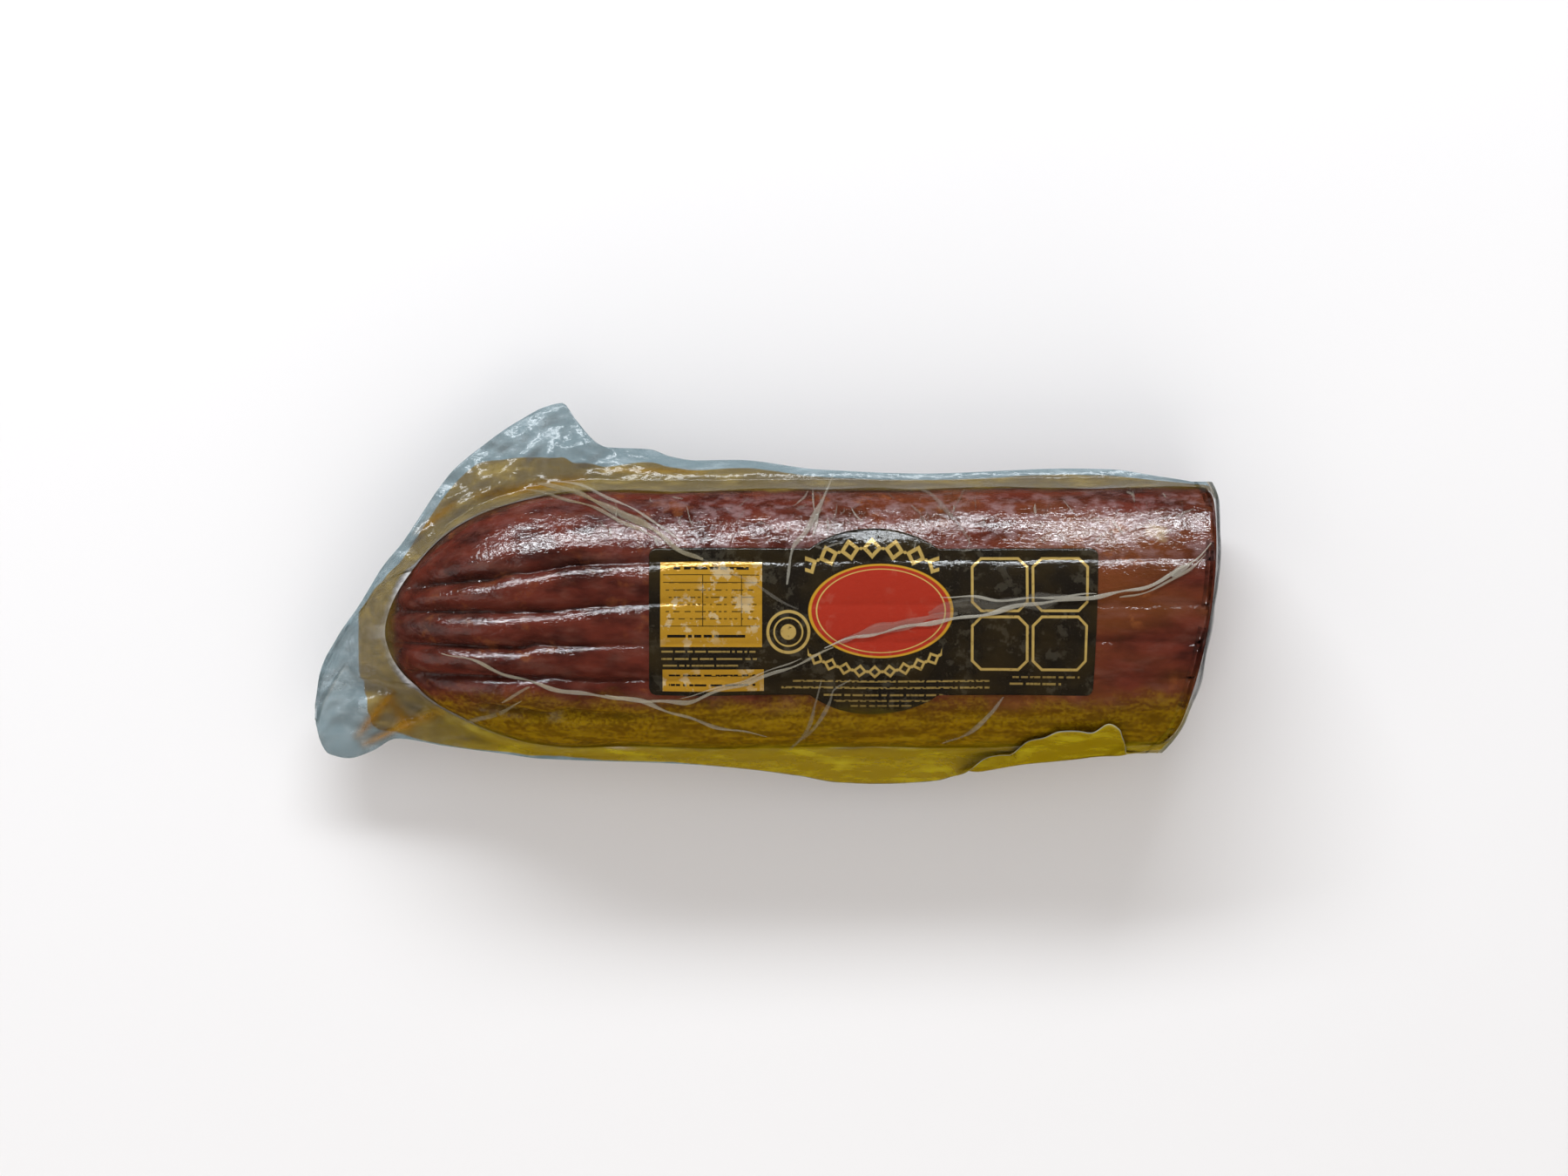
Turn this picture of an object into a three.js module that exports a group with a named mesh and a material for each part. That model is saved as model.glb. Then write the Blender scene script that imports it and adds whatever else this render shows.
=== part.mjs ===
// Half of a pressed, dry-cured sausage in its vacuum pouch, with a label slipped in over the meat.
// Millimetres, +Z up. The pack lies on the plane z = 0. +X runs from the rounded end to the cut face,
// and the origin is the middle of the pack's footprint.
import * as THREE from "three";

// Driving dimensions
const TIP_X = -133.7; // the rounded end
const FACE_X = 156.2; // the furthest point of the cut face
const FACE_PEAK_Y = 22; // where along Y the cut face stands furthest out
const FACE_BEND = 0.0026; // how far the cut face falls back, per square millimetre from that point
const HALF_WIDTH = 45.8;
const MIDDLE_Y = -9.6; // the middle line of the straight part, on the plan
const MIDDLE_TURN = 4.2; // how far that line turns towards -Y at the rounded end
const MIDDLE_DRIFT = { from: -20, slope: 0.008 }; // and how it drifts back towards the cut face
const MIDDLE_Z = 28.5; // height of the widest line and of the pouch's seam
const CROWN = 31.4; // from the widest line up to the top
const BELLY = 31; // from the widest line down, before the weight flattens it
const TAPER = 75; // length of the rounded end
const TAPER_RISE = 2.2; // how gently the rounded end runs out into the full width
const TAPER_BLUNT = 0.59; // how blunt it is at the tip
const TAPER_HEIGHT = 0.9; // the height tapers by this power of the width's taper
const TOP_SQUARENESS = 2.3; // superellipse powers of the section
const BELLY_SQUARENESS = 2.5;
const RIM_RADIUS = 4; // of the edge of the cut face

const SHEET = 0.3; // thickness of each film and of the label as solids
const GAP = 0.3; // clearance between neighbouring solids
const LABEL_OFFSET = GAP + SHEET / 2;
const FILM_OFFSET = 2 * GAP + 1.5 * SHEET; // from the meat to the middle of the film
const SEAM_OFFSET = (GAP + SHEET) / 2 + 0.025; // from the seam's own line to the middle of each film
const FLOOR_Z = FILM_OFFSET + SHEET / 2; // the meat rests on the film at this height

const TENT_X = -147; // where the two films meet ahead of the rounded end
const TENT_HALF_WIDTH = 27;
const TENT_LEAST = 6; // half width of the flap's middle, ahead of the tent
const TENT_BLUNT = 0.75;
const TENT_HEIGHT = 0.93; // of the meat's own height
const FLAP_SHARE = 0.35; // most of the flap's width that its middle may take
const FLAP_SIDE = 1.3; // half widths that are kept between the middle line and the far edge
const DROOP = { from: -125, length: 33.6, depth: 11, power: 1.6 }; // the flap sinks towards its end
const LEAST_COSINE = 0.45; // a loose edge is made no longer than its plan width divided by this
const GUSSET_SHARE = 0.6; // most of a loose edge's width that the gusset may take
const GUSSET = 3.2; // widest bridge of film from the meat's side out to the seam
const AROUND = 32; // steps round the section, shared by the meat and the films so that their facets line up
const LEAVE_ANGLE = (2 * Math.PI) / AROUND; // where the film leaves the meat's side, above the widest line
const END_FLAP = 10; // the seal at the cut end, folded down
const BLEND = 1; // softness of the join between tent and meat

const LABEL = {
  left: -40.7, right: 114.8, half: 25.6, middle: 37, bulge: 36, bulgeHalf: 32.6, columns: 24, rows: 12,
};

// Plan of the pouch's outer edge, [x, y]: the far side (+Y) and the near side (-Y)
const FAR_EDGE = [
  [-158.6, -39], [-156.9, -27.5], [-151.1, -16.2], [-142, -3.1], [-134.4, 9.2], [-127.6, 17.4],
  [-116.1, 34.8], [-110, 42.7], [-97.8, 52.8], [-85.6, 61], [-77.9, 65], [-71.8, 66.4],
  [-67.3, 60.7], [-59.6, 52.2], [-56, 50.6], [-41.3, 49.7], [-33.7, 47], [-24.6, 45.6],
  [-10.8, 45.8], [18.1, 42.4], [54.7, 41], [106.6, 42.7], [124.9, 42.4], [140.1, 40.6], [158, 39.4],
];
const NEAR_EDGE = [
  [-158.6, -46], [-156.6, -53.4], [-154.2, -56.7], [-147.2, -58.3], [-138.9, -55.8], [-129.8, -51.2],
  [-113, -53.7], [-91.7, -56.4], [-79.5, -58], [-30.7, -59.4], [-12.4, -60.6], [12, -63.7],
  [24.2, -65.9], [39.5, -66.5], [54.7, -65.9], [73, -63.1], [91.3, -60], [128, -57.4], [158, -56.2],
];
// How steeply the loose edge hangs, [x, degrees]: 0 points straight out, and over 90 is folded back up
const FAR_HANG = [[-158.6, -12], [-75, -16], [-30, -48], [120, -48], [150, -5], [158, 0]];
const NEAR_HANG = [
  [-158.6, -8], [-100, -20], [-50, -45], [20, -58], [48, -58], [90, 75], [102, 104], [128, 104],
  [146, 30], [152, 0], [158, 0],
];
const CURL = 4; // the loose edge turns to its hang within this distance of the seam
const FOLDED_EDGE = 17; // width of the near edge where it is folded up over the meat
const FOLDED_FROM = 60; // degrees of hang from which the edge counts as folded
const FOLDED_AT = 104; // degrees of hang at which it is folded flat
const LEAN_LENGTH = 60; // the stations lean to follow the cut face over this length

const { degToRad, clamp, smoothstep } = THREE.MathUtils;

// A smooth curve through [x, value] points that never overshoots them
function through(points) {
  const slopes = points.slice(1).map((p, i) => (p[1] - points[i][1]) / (p[0] - points[i][0]));
  const tangents = points.map((_, i) => {
    const before = slopes[i - 1];
    const after = slopes[i];
    if (before === undefined) return after;
    if (after === undefined) return before;
    return before * after <= 0 ? 0 : (2 * before * after) / (before + after);
  });
  return (x) => {
    const last = points.length - 1;
    const i = clamp(points.findIndex((p) => p[0] > x) - 1, 0, last - 1);
    const k = x >= points[last][0] ? last - 1 : i;
    const span = points[k + 1][0] - points[k][0];
    const t = clamp((x - points[k][0]) / span, 0, 1);
    const rise = points[k + 1][1] - points[k][1];
    const ease = t * t * (3 - 2 * t);
    const entry = t * (1 - t) * (1 - t) * span * tangents[k];
    const exit = t * t * (1 - t) * span * tangents[k + 1];
    return points[k][1] + ease * rise + entry - exit;
  };
}

const farEdge = through(FAR_EDGE);
const nearEdge = through(NEAR_EDGE);
const farHang = through(FAR_HANG);
const nearHang = through(NEAR_HANG);

// 0 at the start of a rounded end and 1 where it has reached the full size
function taper(x, start, length, blunt) {
  const u = clamp((x - start) / length, 0, 1);
  return (1 - (1 - u) ** TAPER_RISE) ** blunt;
}

const softMax = (a, b) => (a + b + Math.hypot(a - b, BLEND)) / 2;

// The meat's section at x: middle line, half width, height above and depth below the widest line
function meatSection(x) {
  const left = 1 - clamp((x - TIP_X) / TAPER, 0, 1);
  const share = taper(x, TIP_X, TAPER, TAPER_BLUNT);
  return {
    middle: MIDDLE_Y - MIDDLE_TURN * left ** 4 + MIDDLE_DRIFT.slope * Math.max(x - MIDDLE_DRIFT.from, 0),
    half: HALF_WIDTH * share,
    crown: CROWN * share ** TAPER_HEIGHT,
    belly: BELLY * share ** TAPER_HEIGHT,
  };
}

// The film's section at x, which hugs the meat and stands off its tip as a low tent
function filmSection(x) {
  const meat = meatSection(x);
  const tent = taper(x, TENT_X, TAPER - TENT_X + TIP_X, TENT_BLUNT);
  const half = tent === 0
    ? Math.min(TENT_LEAST, FLAP_SHARE * (farEdge(x) - nearEdge(x)))
    : softMax(meat.half + FILM_OFFSET, TENT_LEAST + TENT_HALF_WIDTH * tent);
  return {
    middle: Math.min(meat.middle, farEdge(x) - FLAP_SIDE * half + Math.max(x - TIP_X, 0)),
    half,
    crown: tent === 0 ? SEAM_OFFSET : softMax(meat.crown + FILM_OFFSET, CROWN * TENT_HEIGHT * tent),
    belly: tent === 0 ? SEAM_OFFSET : softMax(meat.belly + FILM_OFFSET, BELLY * TENT_HEIGHT * tent),
    seamZ: MIDDLE_Z - DROOP.depth * Math.max((DROOP.from - x) / DROOP.length, 0) ** DROOP.power,
  };
}

// A point on a superellipse quarter: share of the half width and share of the height at an angle
const acrossShare = (angle, power) => Math.sign(Math.cos(angle)) * Math.abs(Math.cos(angle)) ** (2 / power);
const heightShare = (angle, power) => Math.abs(Math.sin(angle)) ** (2 / power);

const faceX = (y) => FACE_X - FACE_BEND * (y - FACE_PEAK_Y) ** 2;
// Stations are marked by where they cross the peak of the cut face; towards that end they lean to follow it.
const leanTo = (x, y) => x + smoothstep(x, FACE_X - LEAN_LENGTH, FACE_X) * (faceX(y) - FACE_X);

// A closed solid from rings of equal length: a skin between rings and a fan at each end
function solidFromRings(rings, firstPole, lastPole) {
  const around = rings[0].length;
  const vertices = [firstPole, ...rings.flat(), lastPole].flat();
  const faces = [];
  const at = (ring, k) => 1 + ring * around + (k % around);
  for (let k = 0; k < around; k++) {
    faces.push(0, at(0, k + 1), at(0, k));
    faces.push(1 + rings.length * around, at(rings.length - 1, k), at(rings.length - 1, k + 1));
  }
  for (let r = 0; r + 1 < rings.length; r++)
    for (let k = 0; k < around; k++) {
      faces.push(at(r, k), at(r, k + 1), at(r + 1, k));
      faces.push(at(r, k + 1), at(r + 1, k + 1), at(r + 1, k));
    }
  return geometryOf(vertices, faces);
}

function geometryOf(vertices, faces) {
  const geometry = new THREE.BufferGeometry();
  geometry.setAttribute("position", new THREE.Float32BufferAttribute(vertices, 3));
  geometry.setIndex(faces);
  geometry.computeVertexNormals();
  return geometry;
}

// A sheet of the given thickness around a grid of points, closed at its four edges.
// up is the side that faces out: 1 along the grid's own normals, -1 against them.
function sheetSolid(grid, thickness, up) {
  const rows = grid.length;
  const columns = grid[0].length;
  const point = (i, j) => grid[clamp(i, 0, rows - 1)][clamp(j, 0, columns - 1)];
  const upper = [];
  const lower = [];
  for (let i = 0; i < rows; i++)
    for (let j = 0; j < columns; j++) {
      const along = new THREE.Vector3().subVectors(point(i + 1, j), point(i - 1, j));
      const across = new THREE.Vector3().subVectors(point(i, j + 1), point(i, j - 1));
      const shift = along.cross(across).setLength((-up * thickness) / 2);
      upper.push(point(i, j).clone().add(shift));
      lower.push(point(i, j).clone().sub(shift));
    }
  const faces = [];
  const quad = (a, b, c, d) => faces.push(a, b, c, a, c, d);
  const top = (i, j) => i * columns + j;
  const under = (i, j) => rows * columns + top(i, j);
  for (let i = 0; i + 1 < rows; i++)
    for (let j = 0; j + 1 < columns; j++) {
      quad(top(i, j), top(i, j + 1), top(i + 1, j + 1), top(i + 1, j));
      quad(under(i, j), under(i + 1, j), under(i + 1, j + 1), under(i, j + 1));
    }
  for (let i = 0; i + 1 < rows; i++) {
    quad(top(i, 0), top(i + 1, 0), under(i + 1, 0), under(i, 0));
    quad(top(i + 1, columns - 1), top(i, columns - 1), under(i, columns - 1), under(i + 1, columns - 1));
  }
  for (let j = 0; j + 1 < columns; j++) {
    quad(top(0, j + 1), top(0, j), under(0, j), under(0, j + 1));
    quad(top(rows - 1, j), top(rows - 1, j + 1), under(rows - 1, j + 1), under(rows - 1, j));
  }
  if (up < 0) for (let f = 0; f < faces.length; f += 3) [faces[f], faces[f + 1]] = [faces[f + 1], faces[f]];
  return geometryOf([...upper, ...lower].flatMap((p) => p.toArray()), faces);
}

// Stations along the length: close together on the rounded end, wide apart on the straight part
const BODY_STATIONS = [-132, -127, -121, -114, -105, -94, -80, -60, -38, -14, 12, 40, 68, 94, 116, 134, 146];
const FLAP_STATIONS = [-158.6, -157, -154, -148, -142, -137];
const RIM_STEPS = [0, 45, 90].map(degToRad);

// The cured meat: one lathe-like skin from the tip to the rim of the cut face, which closes it
function sausage() {
  const ring = (x, inset, back) => {
    const s = meatSection(x);
    return Array.from({ length: AROUND }, (_, k) => {
      const angle = (2 * Math.PI * k) / AROUND;
      const above = angle <= Math.PI;
      const power = above ? TOP_SQUARENESS : BELLY_SQUARENESS;
      const height = heightShare(angle, power) * ((above ? s.crown : s.belly) - inset);
      const y = s.middle + acrossShare(angle, power) * (s.half - inset);
      return [leanTo(x, y) - back, y, Math.max(MIDDLE_Z + (above ? height : -height), FLOOR_Z + inset)];
    });
  };
  const rings = BODY_STATIONS.map((x) => ring(x, 0, 0));
  for (const turn of RIM_STEPS)
    rings.push(ring(FACE_X, RIM_RADIUS * (1 - Math.cos(turn)), RIM_RADIUS * (1 - Math.sin(turn))));
  const end = meatSection(FACE_X);
  const tip = [TIP_X, meatSection(TIP_X).middle, MIDDLE_Z];
  return solidFromRings(rings, tip, [faceX(end.middle) - 1, end.middle, MIDDLE_Z]);
}

// The loose edge outside the seam: each point's place from the seam, the way it faces and how far a
// sheet beside it spreads there to keep its distance
function looseEdge(reach, hang, steps) {
  const folded = smoothstep(hang, FOLDED_FROM, FOLDED_AT);
  const width = reach / Math.max(Math.cos(degToRad(hang)), LEAST_COSINE);
  const length = THREE.MathUtils.lerp(width, FOLDED_EDGE, folded);
  const step = length / steps;
  const turn = (k) => degToRad(hang) * smoothstep((k + 0.5) * step, -CURL / 2, CURL);
  const points = [{ out: 0, up: 0, facing: 0, spread: 1 }];
  for (let k = 0; k < steps; k++) {
    const next = k + 1 < steps ? turn(k + 1) : turn(k);
    const { out, up } = points[k];
    const facing = (turn(k) + next) / 2;
    points.push({
      out: out + step * Math.cos(turn(k)),
      up: up + step * Math.sin(turn(k)),
      facing,
      spread: 1 / Math.cos(next - facing),
    });
  }
  points[0].facing = turn(0) / 2;
  return points;
}

const EDGE_STEPS = 4; // along a loose edge
const BRIDGE_STEPS = [0.35, 0.7]; // along the bridge from the meat's side to the seam
const BRIDGE_CORNER = 0.25; // where the bridge's curve has its corner, from the seam to the meat

// One film's section at x, from the far loose edge over (side 1) or under (side -1) the meat to the near one
function filmCurve(x, side, inset = 0) {
  const s = filmSection(x);
  const height = (side > 0 ? s.crown : s.belly) - inset;
  const power = side > 0 ? TOP_SQUARENESS : BELLY_SQUARENESS;
  const half = s.half - inset;
  const arc = (angle) => ({
    y: s.middle + acrossShare(angle, power) * half,
    z: s.seamZ + side * Math.max(heightShare(angle, power) * height, SEAM_OFFSET),
  });
  const edge = (sign) => {
    const reach = sign > 0 ? farEdge(x) - s.middle - s.half : s.middle - s.half - nearEdge(x);
    const gusset = Math.min(GUSSET, Math.max(reach, 1) * GUSSET_SHARE);
    const hang = sign > 0 ? farHang(x) : nearHang(x);
    const seamY = s.middle + sign * (s.half + gusset);
    const loose = looseEdge(Math.max(reach - gusset, 0.5), hang, EDGE_STEPS).map((p) => ({
      y: seamY + sign * (p.out - side * SEAM_OFFSET * p.spread * Math.sin(p.facing)),
      z: s.seamZ + p.up + side * SEAM_OFFSET * p.spread * Math.cos(p.facing),
    }));
    const start = loose[0];
    const end = arc(sign > 0 ? LEAVE_ANGLE : Math.PI - LEAVE_ANGLE);
    const corner = { y: THREE.MathUtils.lerp(end.y, start.y, BRIDGE_CORNER), z: start.z };
    const bridge = BRIDGE_STEPS.map((t) => ({
      y: (1 - t) ** 2 * start.y + 2 * t * (1 - t) * corner.y + t * t * end.y,
      z: (1 - t) ** 2 * start.z + 2 * t * (1 - t) * corner.z + t * t * end.z,
    }));
    return [...loose.reverse(), ...bridge];
  };
  const over = Array.from({ length: AROUND / 2 - 1 }, (_, k) => arc(LEAVE_ANGLE * (k + 1)));
  return [...edge(1), ...over, ...edge(-1).reverse()];
}

// How each film turns into the end seal: layers out from the cut face, and height above the widest line
const END_PITCH = GAP + SHEET + 0.1;
const END_SEAL = {
  1: [{ layers: 0.43, up: 1.2 }, { layers: 2.3, up: -0.6 }, { layers: 2.3, up: -END_FLAP }],
  [-1]: [
    { layers: 0.36, up: -1.6 }, { layers: 0.6, up: -1.1 }, { layers: 1.2, up: -1.6 },
    { layers: 1.2, up: -END_FLAP },
  ],
};

// One of the pouch's two films
function film(side) {
  const lowest = SHEET / 2;
  const place = (x, p, out = 0) => new THREE.Vector3(leanTo(x, p.y) + out, p.y, Math.max(p.z, lowest));
  const grid = [...FLAP_STATIONS, ...BODY_STATIONS].map((x) => filmCurve(x, side).map((p) => place(x, p)));
  const radius = RIM_RADIUS + FILM_OFFSET;
  for (const turn of RIM_STEPS) {
    const curve = filmCurve(FACE_X, side, radius * (1 - Math.cos(turn)));
    grid.push(curve.map((p) => place(FACE_X, p, FILM_OFFSET - radius * (1 - Math.sin(turn)))));
  }
  // Down (or up) the cut face to the seam, then the sealed end hangs over it. The outer film passes outside.
  const rim = filmCurve(FACE_X, side, radius);
  const row = (share, out, up) =>
    rim.map((p) => {
      const z = MIDDLE_Z + side * Math.max(side * (p.z - MIDDLE_Z) * share, SEAM_OFFSET) + up;
      return new THREE.Vector3(leanTo(FACE_X, p.y) + FILM_OFFSET + out, p.y, z);
    });
  grid.push(row(0.5, 0.15, 0));
  for (const { layers, up } of END_SEAL[side]) grid.push(row(0, layers * END_PITCH, up));
  return sheetSolid(grid, SHEET, side);
}

// The label lies on the crown of the meat: a strip with a round swell in its middle
function label() {
  const { columns, rows } = LABEL;
  const grid = [];
  for (let i = 0; i <= columns; i++) {
    const x = THREE.MathUtils.lerp(LABEL.left, LABEL.right, i / columns);
    const swell = LABEL.bulgeHalf * Math.sqrt(Math.max(0, 1 - ((x - LABEL.middle) / LABEL.bulge) ** 2));
    const half = Math.max(LABEL.half, swell);
    const s = meatSection(x);
    grid.push(
      Array.from({ length: rows + 1 }, (_, j) => {
        const across = half * (1 - (2 * j) / rows);
        const share = Math.abs(across) / (s.half + LABEL_OFFSET);
        const rise = (1 - share ** TOP_SQUARENESS) ** (1 / TOP_SQUARENESS);
        return new THREE.Vector3(x, s.middle + across, MIDDLE_Z + (s.crown + LABEL_OFFSET) * rise);
      }),
    );
  }
  return sheetSolid(grid, SHEET, 1);
}

const material = (color, roughness, opacity = 1) =>
  new THREE.MeshStandardMaterial({ color, roughness, metalness: 0, opacity, transparent: opacity < 1 });

function piece(name, geometry, look) {
  const mesh = new THREE.Mesh(geometry, look);
  mesh.name = name;
  return mesh;
}

const pack = new THREE.Group();
pack.add(
  piece("sausage", sausage(), material(0x5a231a, 0.45)),
  piece("label", label(), material(0x1b1814, 0.35)),
  piece("front_film", film(1), material(0x9fb2b6, 0.15, 0.35)),
  piece("back_film", film(-1), material(0x9fb2b6, 0.15, 0.35)),
);

export default pack;
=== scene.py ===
"""The looks of a pressed, dry-cured sausage in its vacuum pouch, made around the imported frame.

Shapes are worked out in millimetres and become metres when their mesh is made. +X runs from the
sausage's rounded end to its cut face, +Y to the far edge of the pouch, and +Z up through the label.
"""

import logging
import math
from dataclasses import dataclass, field
from enum import Enum
from functools import reduce

import bmesh
import bpy
import numpy as np
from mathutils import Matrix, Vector

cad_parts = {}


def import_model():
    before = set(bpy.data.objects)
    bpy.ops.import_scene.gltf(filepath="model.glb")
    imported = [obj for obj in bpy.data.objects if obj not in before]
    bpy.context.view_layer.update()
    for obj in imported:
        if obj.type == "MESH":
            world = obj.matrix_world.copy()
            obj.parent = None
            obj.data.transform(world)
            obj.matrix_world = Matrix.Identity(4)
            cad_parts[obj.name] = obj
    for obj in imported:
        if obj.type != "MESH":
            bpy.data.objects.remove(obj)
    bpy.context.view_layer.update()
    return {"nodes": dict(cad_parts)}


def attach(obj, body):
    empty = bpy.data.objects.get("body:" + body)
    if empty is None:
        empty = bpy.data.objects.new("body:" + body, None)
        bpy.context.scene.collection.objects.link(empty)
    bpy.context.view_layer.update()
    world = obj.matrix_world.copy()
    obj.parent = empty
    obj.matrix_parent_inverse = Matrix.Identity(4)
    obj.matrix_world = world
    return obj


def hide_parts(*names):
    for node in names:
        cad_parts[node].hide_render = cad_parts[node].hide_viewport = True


Array = np.ndarray
Colour = tuple[float, float, float]
LOG = logging.getLogger("cured sausage")
MM = 0.001
TAU = 2 * math.pi
QUARTER = math.pi / 2


class Slot(Enum):
    """The record's material slots."""

    MEAT = "meat"
    LABEL = "label_stock"
    FILM = "pouch_film"


class Side(Enum):
    """Which of the pouch's two films, as the direction it faces."""

    FRONT = 1
    BACK = -1


# ---------------------------------------------------------------------------------- shape maths


def smooth(value: Array, low: float, high: float) -> Array:
    """Ease from 0 at low to 1 at high.

    Args:
        value: Any numbers.
        low: Where the result leaves 0.
        high: Where the result reaches 1.

    Returns:
        Numbers from 0 to 1.
    """
    t = np.clip((value - low) / (high - low), 0, 1)
    return t * t * (3 - 2 * t)


def larger(a: Array, b: Array, blend: float = 1.0) -> Array:
    """The larger of two numbers, rounded where they are nearly equal."""
    return (a + b + np.hypot(a - b, blend)) / 2


@dataclass(frozen=True)
class Line:
    """A smooth curve through points that never overshoots them."""

    points: tuple[tuple[float, float], ...]

    def __call__(self, x: Array) -> Array:
        """Read the curve.

        Args:
            x: Where to read it.

        Returns:
            The curve's height at each x, held level past its ends.
        """
        xs, ys = np.array(self.points, float).T
        span = np.diff(xs)
        slope = np.diff(ys) / span
        before, after = slope[:-1], slope[1:]
        turning = before * after <= 0
        inner = np.where(turning, 0, 2 * before * after / np.where(turning, 1, before + after))
        tangent = np.concatenate([slope[:1], inner, slope[-1:]])
        i = np.clip(np.searchsorted(xs, x, side="right") - 1, 0, len(xs) - 2)
        t = np.clip((x - xs[i]) / span[i], 0, 1)
        eased = ys[i] + t * t * (3 - 2 * t) * (ys[i + 1] - ys[i])
        return eased + span[i] * (t * (1 - t) ** 2 * tangent[i] - t * t * (1 - t) * tangent[i + 1])


@dataclass(frozen=True)
class Ripples:
    """Smooth random waves over a plane, mostly between -1 and 1."""

    seed: int
    longest: float
    shortest: float
    stretch: float = 1.0
    waves: int = 22

    def __call__(self, x: Array, y: Array) -> Array:
        """Height of the waves at each place."""
        rng = np.random.default_rng(self.seed)
        lengths = np.exp(rng.uniform(math.log(self.shortest), math.log(self.longest), self.waves))
        headings = rng.uniform(0, TAU, self.waves)
        phases = rng.uniform(0, TAU, self.waves)
        total = np.zeros(np.broadcast(x, y).shape)
        for length, heading, phase in zip(lengths, headings, phases):
            ahead = x / self.stretch * math.cos(heading) + y * math.sin(heading)
            total += np.sin(TAU / length * ahead + phase)
        return total / math.sqrt(2 * self.waves)

    def ridges(self, x: Array, y: Array, sharpness: float) -> Array:
        """Narrow crests, from 0 between them to 1 along them."""
        return np.clip(1 - np.abs(self(x, y)), 0, 1) ** sharpness


@dataclass(frozen=True)
class Crease:
    """A straight fold pressed into a film: a ridge, or a valley if its height is negative."""

    start: tuple[float, float]
    end: tuple[float, float]
    height: float
    width: float = 2.0

    def __call__(self, x: Array, y: Array) -> Array:
        """Height of the fold at each place."""
        ax, ay = self.start
        bx, by = self.end
        length = math.hypot(bx - ax, by - ay)
        along = ((x - ax) * (bx - ax) + (y - ay) * (by - ay)) / length**2
        off = np.hypot(x - ax - np.clip(along, 0, 1) * (bx - ax), y - ay - np.clip(along, 0, 1) * (by - ay))
        fade = np.sin(np.clip(along, 0, 1) * math.pi) ** 0.5
        return self.height * fade * np.clip(1 - off / self.width, 0, 1) ** 1.5


@dataclass(frozen=True)
class Section:
    """Sections across the length, one for each row of a mesh: superellipses in two halves."""

    middle: Array
    half: Array
    up: Array
    down: Array
    seam_z: Array
    upper_power: float = 2.3
    lower_power: float = 2.5

    def at(self, angle: Array, inset: Array) -> tuple[Array, Array]:
        """Points on the sections.

        Args:
            angle: Angles round the section. 0 is the +Y side and a quarter turn is the top.
            inset: How far inside the outline each row runs.

        Returns:
            Y and Z of each point.
        """
        cos, sin = np.cos(angle), np.sin(angle)
        above = sin >= 0
        power = np.where(above, self.upper_power, self.lower_power)
        tall = np.where(above, self.up, self.down) - inset
        y = self.middle + np.sign(cos) * np.abs(cos) ** (2 / power) * (self.half - inset)
        z = self.seam_z + np.where(above, 1, -1) * np.abs(sin) ** (2 / power) * tall
        return y, z


# ---------------------------------------------------------------------------------- mesh making


def grid_faces(rows: int, columns: int, closed: bool) -> Array:
    """Quads of a grid whose points are numbered row by row.

    Args:
        rows: Number of rows.
        columns: Number of points in a row.
        closed: Whether each row is a ring.

    Returns:
        Four point numbers for each quad.
    """
    i, j = np.meshgrid(np.arange(rows - 1), np.arange(columns if closed else columns - 1), indexing="ij")
    a = i * columns + j
    b = i * columns + (j + 1) % columns
    return np.stack([a, b, b + columns, a + columns], -1).reshape(-1, 4)


def grid_normals(points: Array) -> Array:
    """Unit normals of a grid of points, along rows crossed with columns."""
    cross = np.cross(np.gradient(points, axis=0), np.gradient(points, axis=1))
    return cross / np.maximum(np.linalg.norm(cross, axis=-1, keepdims=True), 1e-9)


def make_piece(
    name: str, points: Array, faces: list[list[int]], values: dict[str, Array]
) -> bpy.types.Object:
    """Make a smooth-shaded mesh object.

    Args:
        name: The object's name.
        points: Its points, in millimetres.
        faces: Its faces, as point numbers.
        values: One number per point for each named attribute.

    Returns:
        The object, linked to the scene.
    """
    mesh = bpy.data.meshes.new(name)
    mesh.from_pydata((points * MM).tolist(), [], faces)
    mesh.polygons.foreach_set("use_smooth", np.ones(len(mesh.polygons), bool))
    for key, numbers in values.items():
        layer = mesh.attributes.new(key, "FLOAT", "POINT")
        layer.data.foreach_set("value", np.ascontiguousarray(numbers, np.float32).ravel())
    mesh.validate()
    piece = bpy.data.objects.new(name, mesh)
    bpy.context.scene.collection.objects.link(piece)
    return piece


def make_sheet(
    name: str, middle: Array, thickness: float, side: int, values: dict[str, Array]
) -> bpy.types.Object:
    """Make a closed sheet around a grid of points.

    Args:
        name: The object's name.
        middle: Rows and columns of points through the sheet's middle, in millimetres.
        thickness: The sheet's thickness.
        side: 1 if the grid's own normals point outwards, or -1.
        values: One number per grid point for each named attribute.

    Returns:
        The object, linked to the scene.
    """
    rows, columns = middle.shape[:2]
    shift = grid_normals(middle) * thickness / 2
    count = rows * columns
    quads = grid_faces(rows, columns, closed=False)
    inner = quads[:, ::-1] + count
    turn = np.arange(count).reshape(rows, columns)
    rim = np.concatenate([turn[0], turn[1:, -1], turn[-1, -2::-1], turn[-2:0:-1, 0]])
    following = np.roll(rim, -1)
    wall = np.stack([following, rim, rim + count, following + count], -1)
    faces = np.concatenate([quads, inner, wall])
    if side > 0:
        faces = faces[:, ::-1]
        shift = -shift
    points = np.concatenate([(middle - shift).reshape(-1, 3), (middle + shift).reshape(-1, 3)])
    doubled = {
        key: np.tile(np.broadcast_to(numbers, (rows, columns)).ravel(), 2)
        for key, numbers in values.items()
    }
    return make_piece(name, points, faces.tolist(), doubled)


# ---------------------------------------------------------------------------------- shader maths


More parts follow.
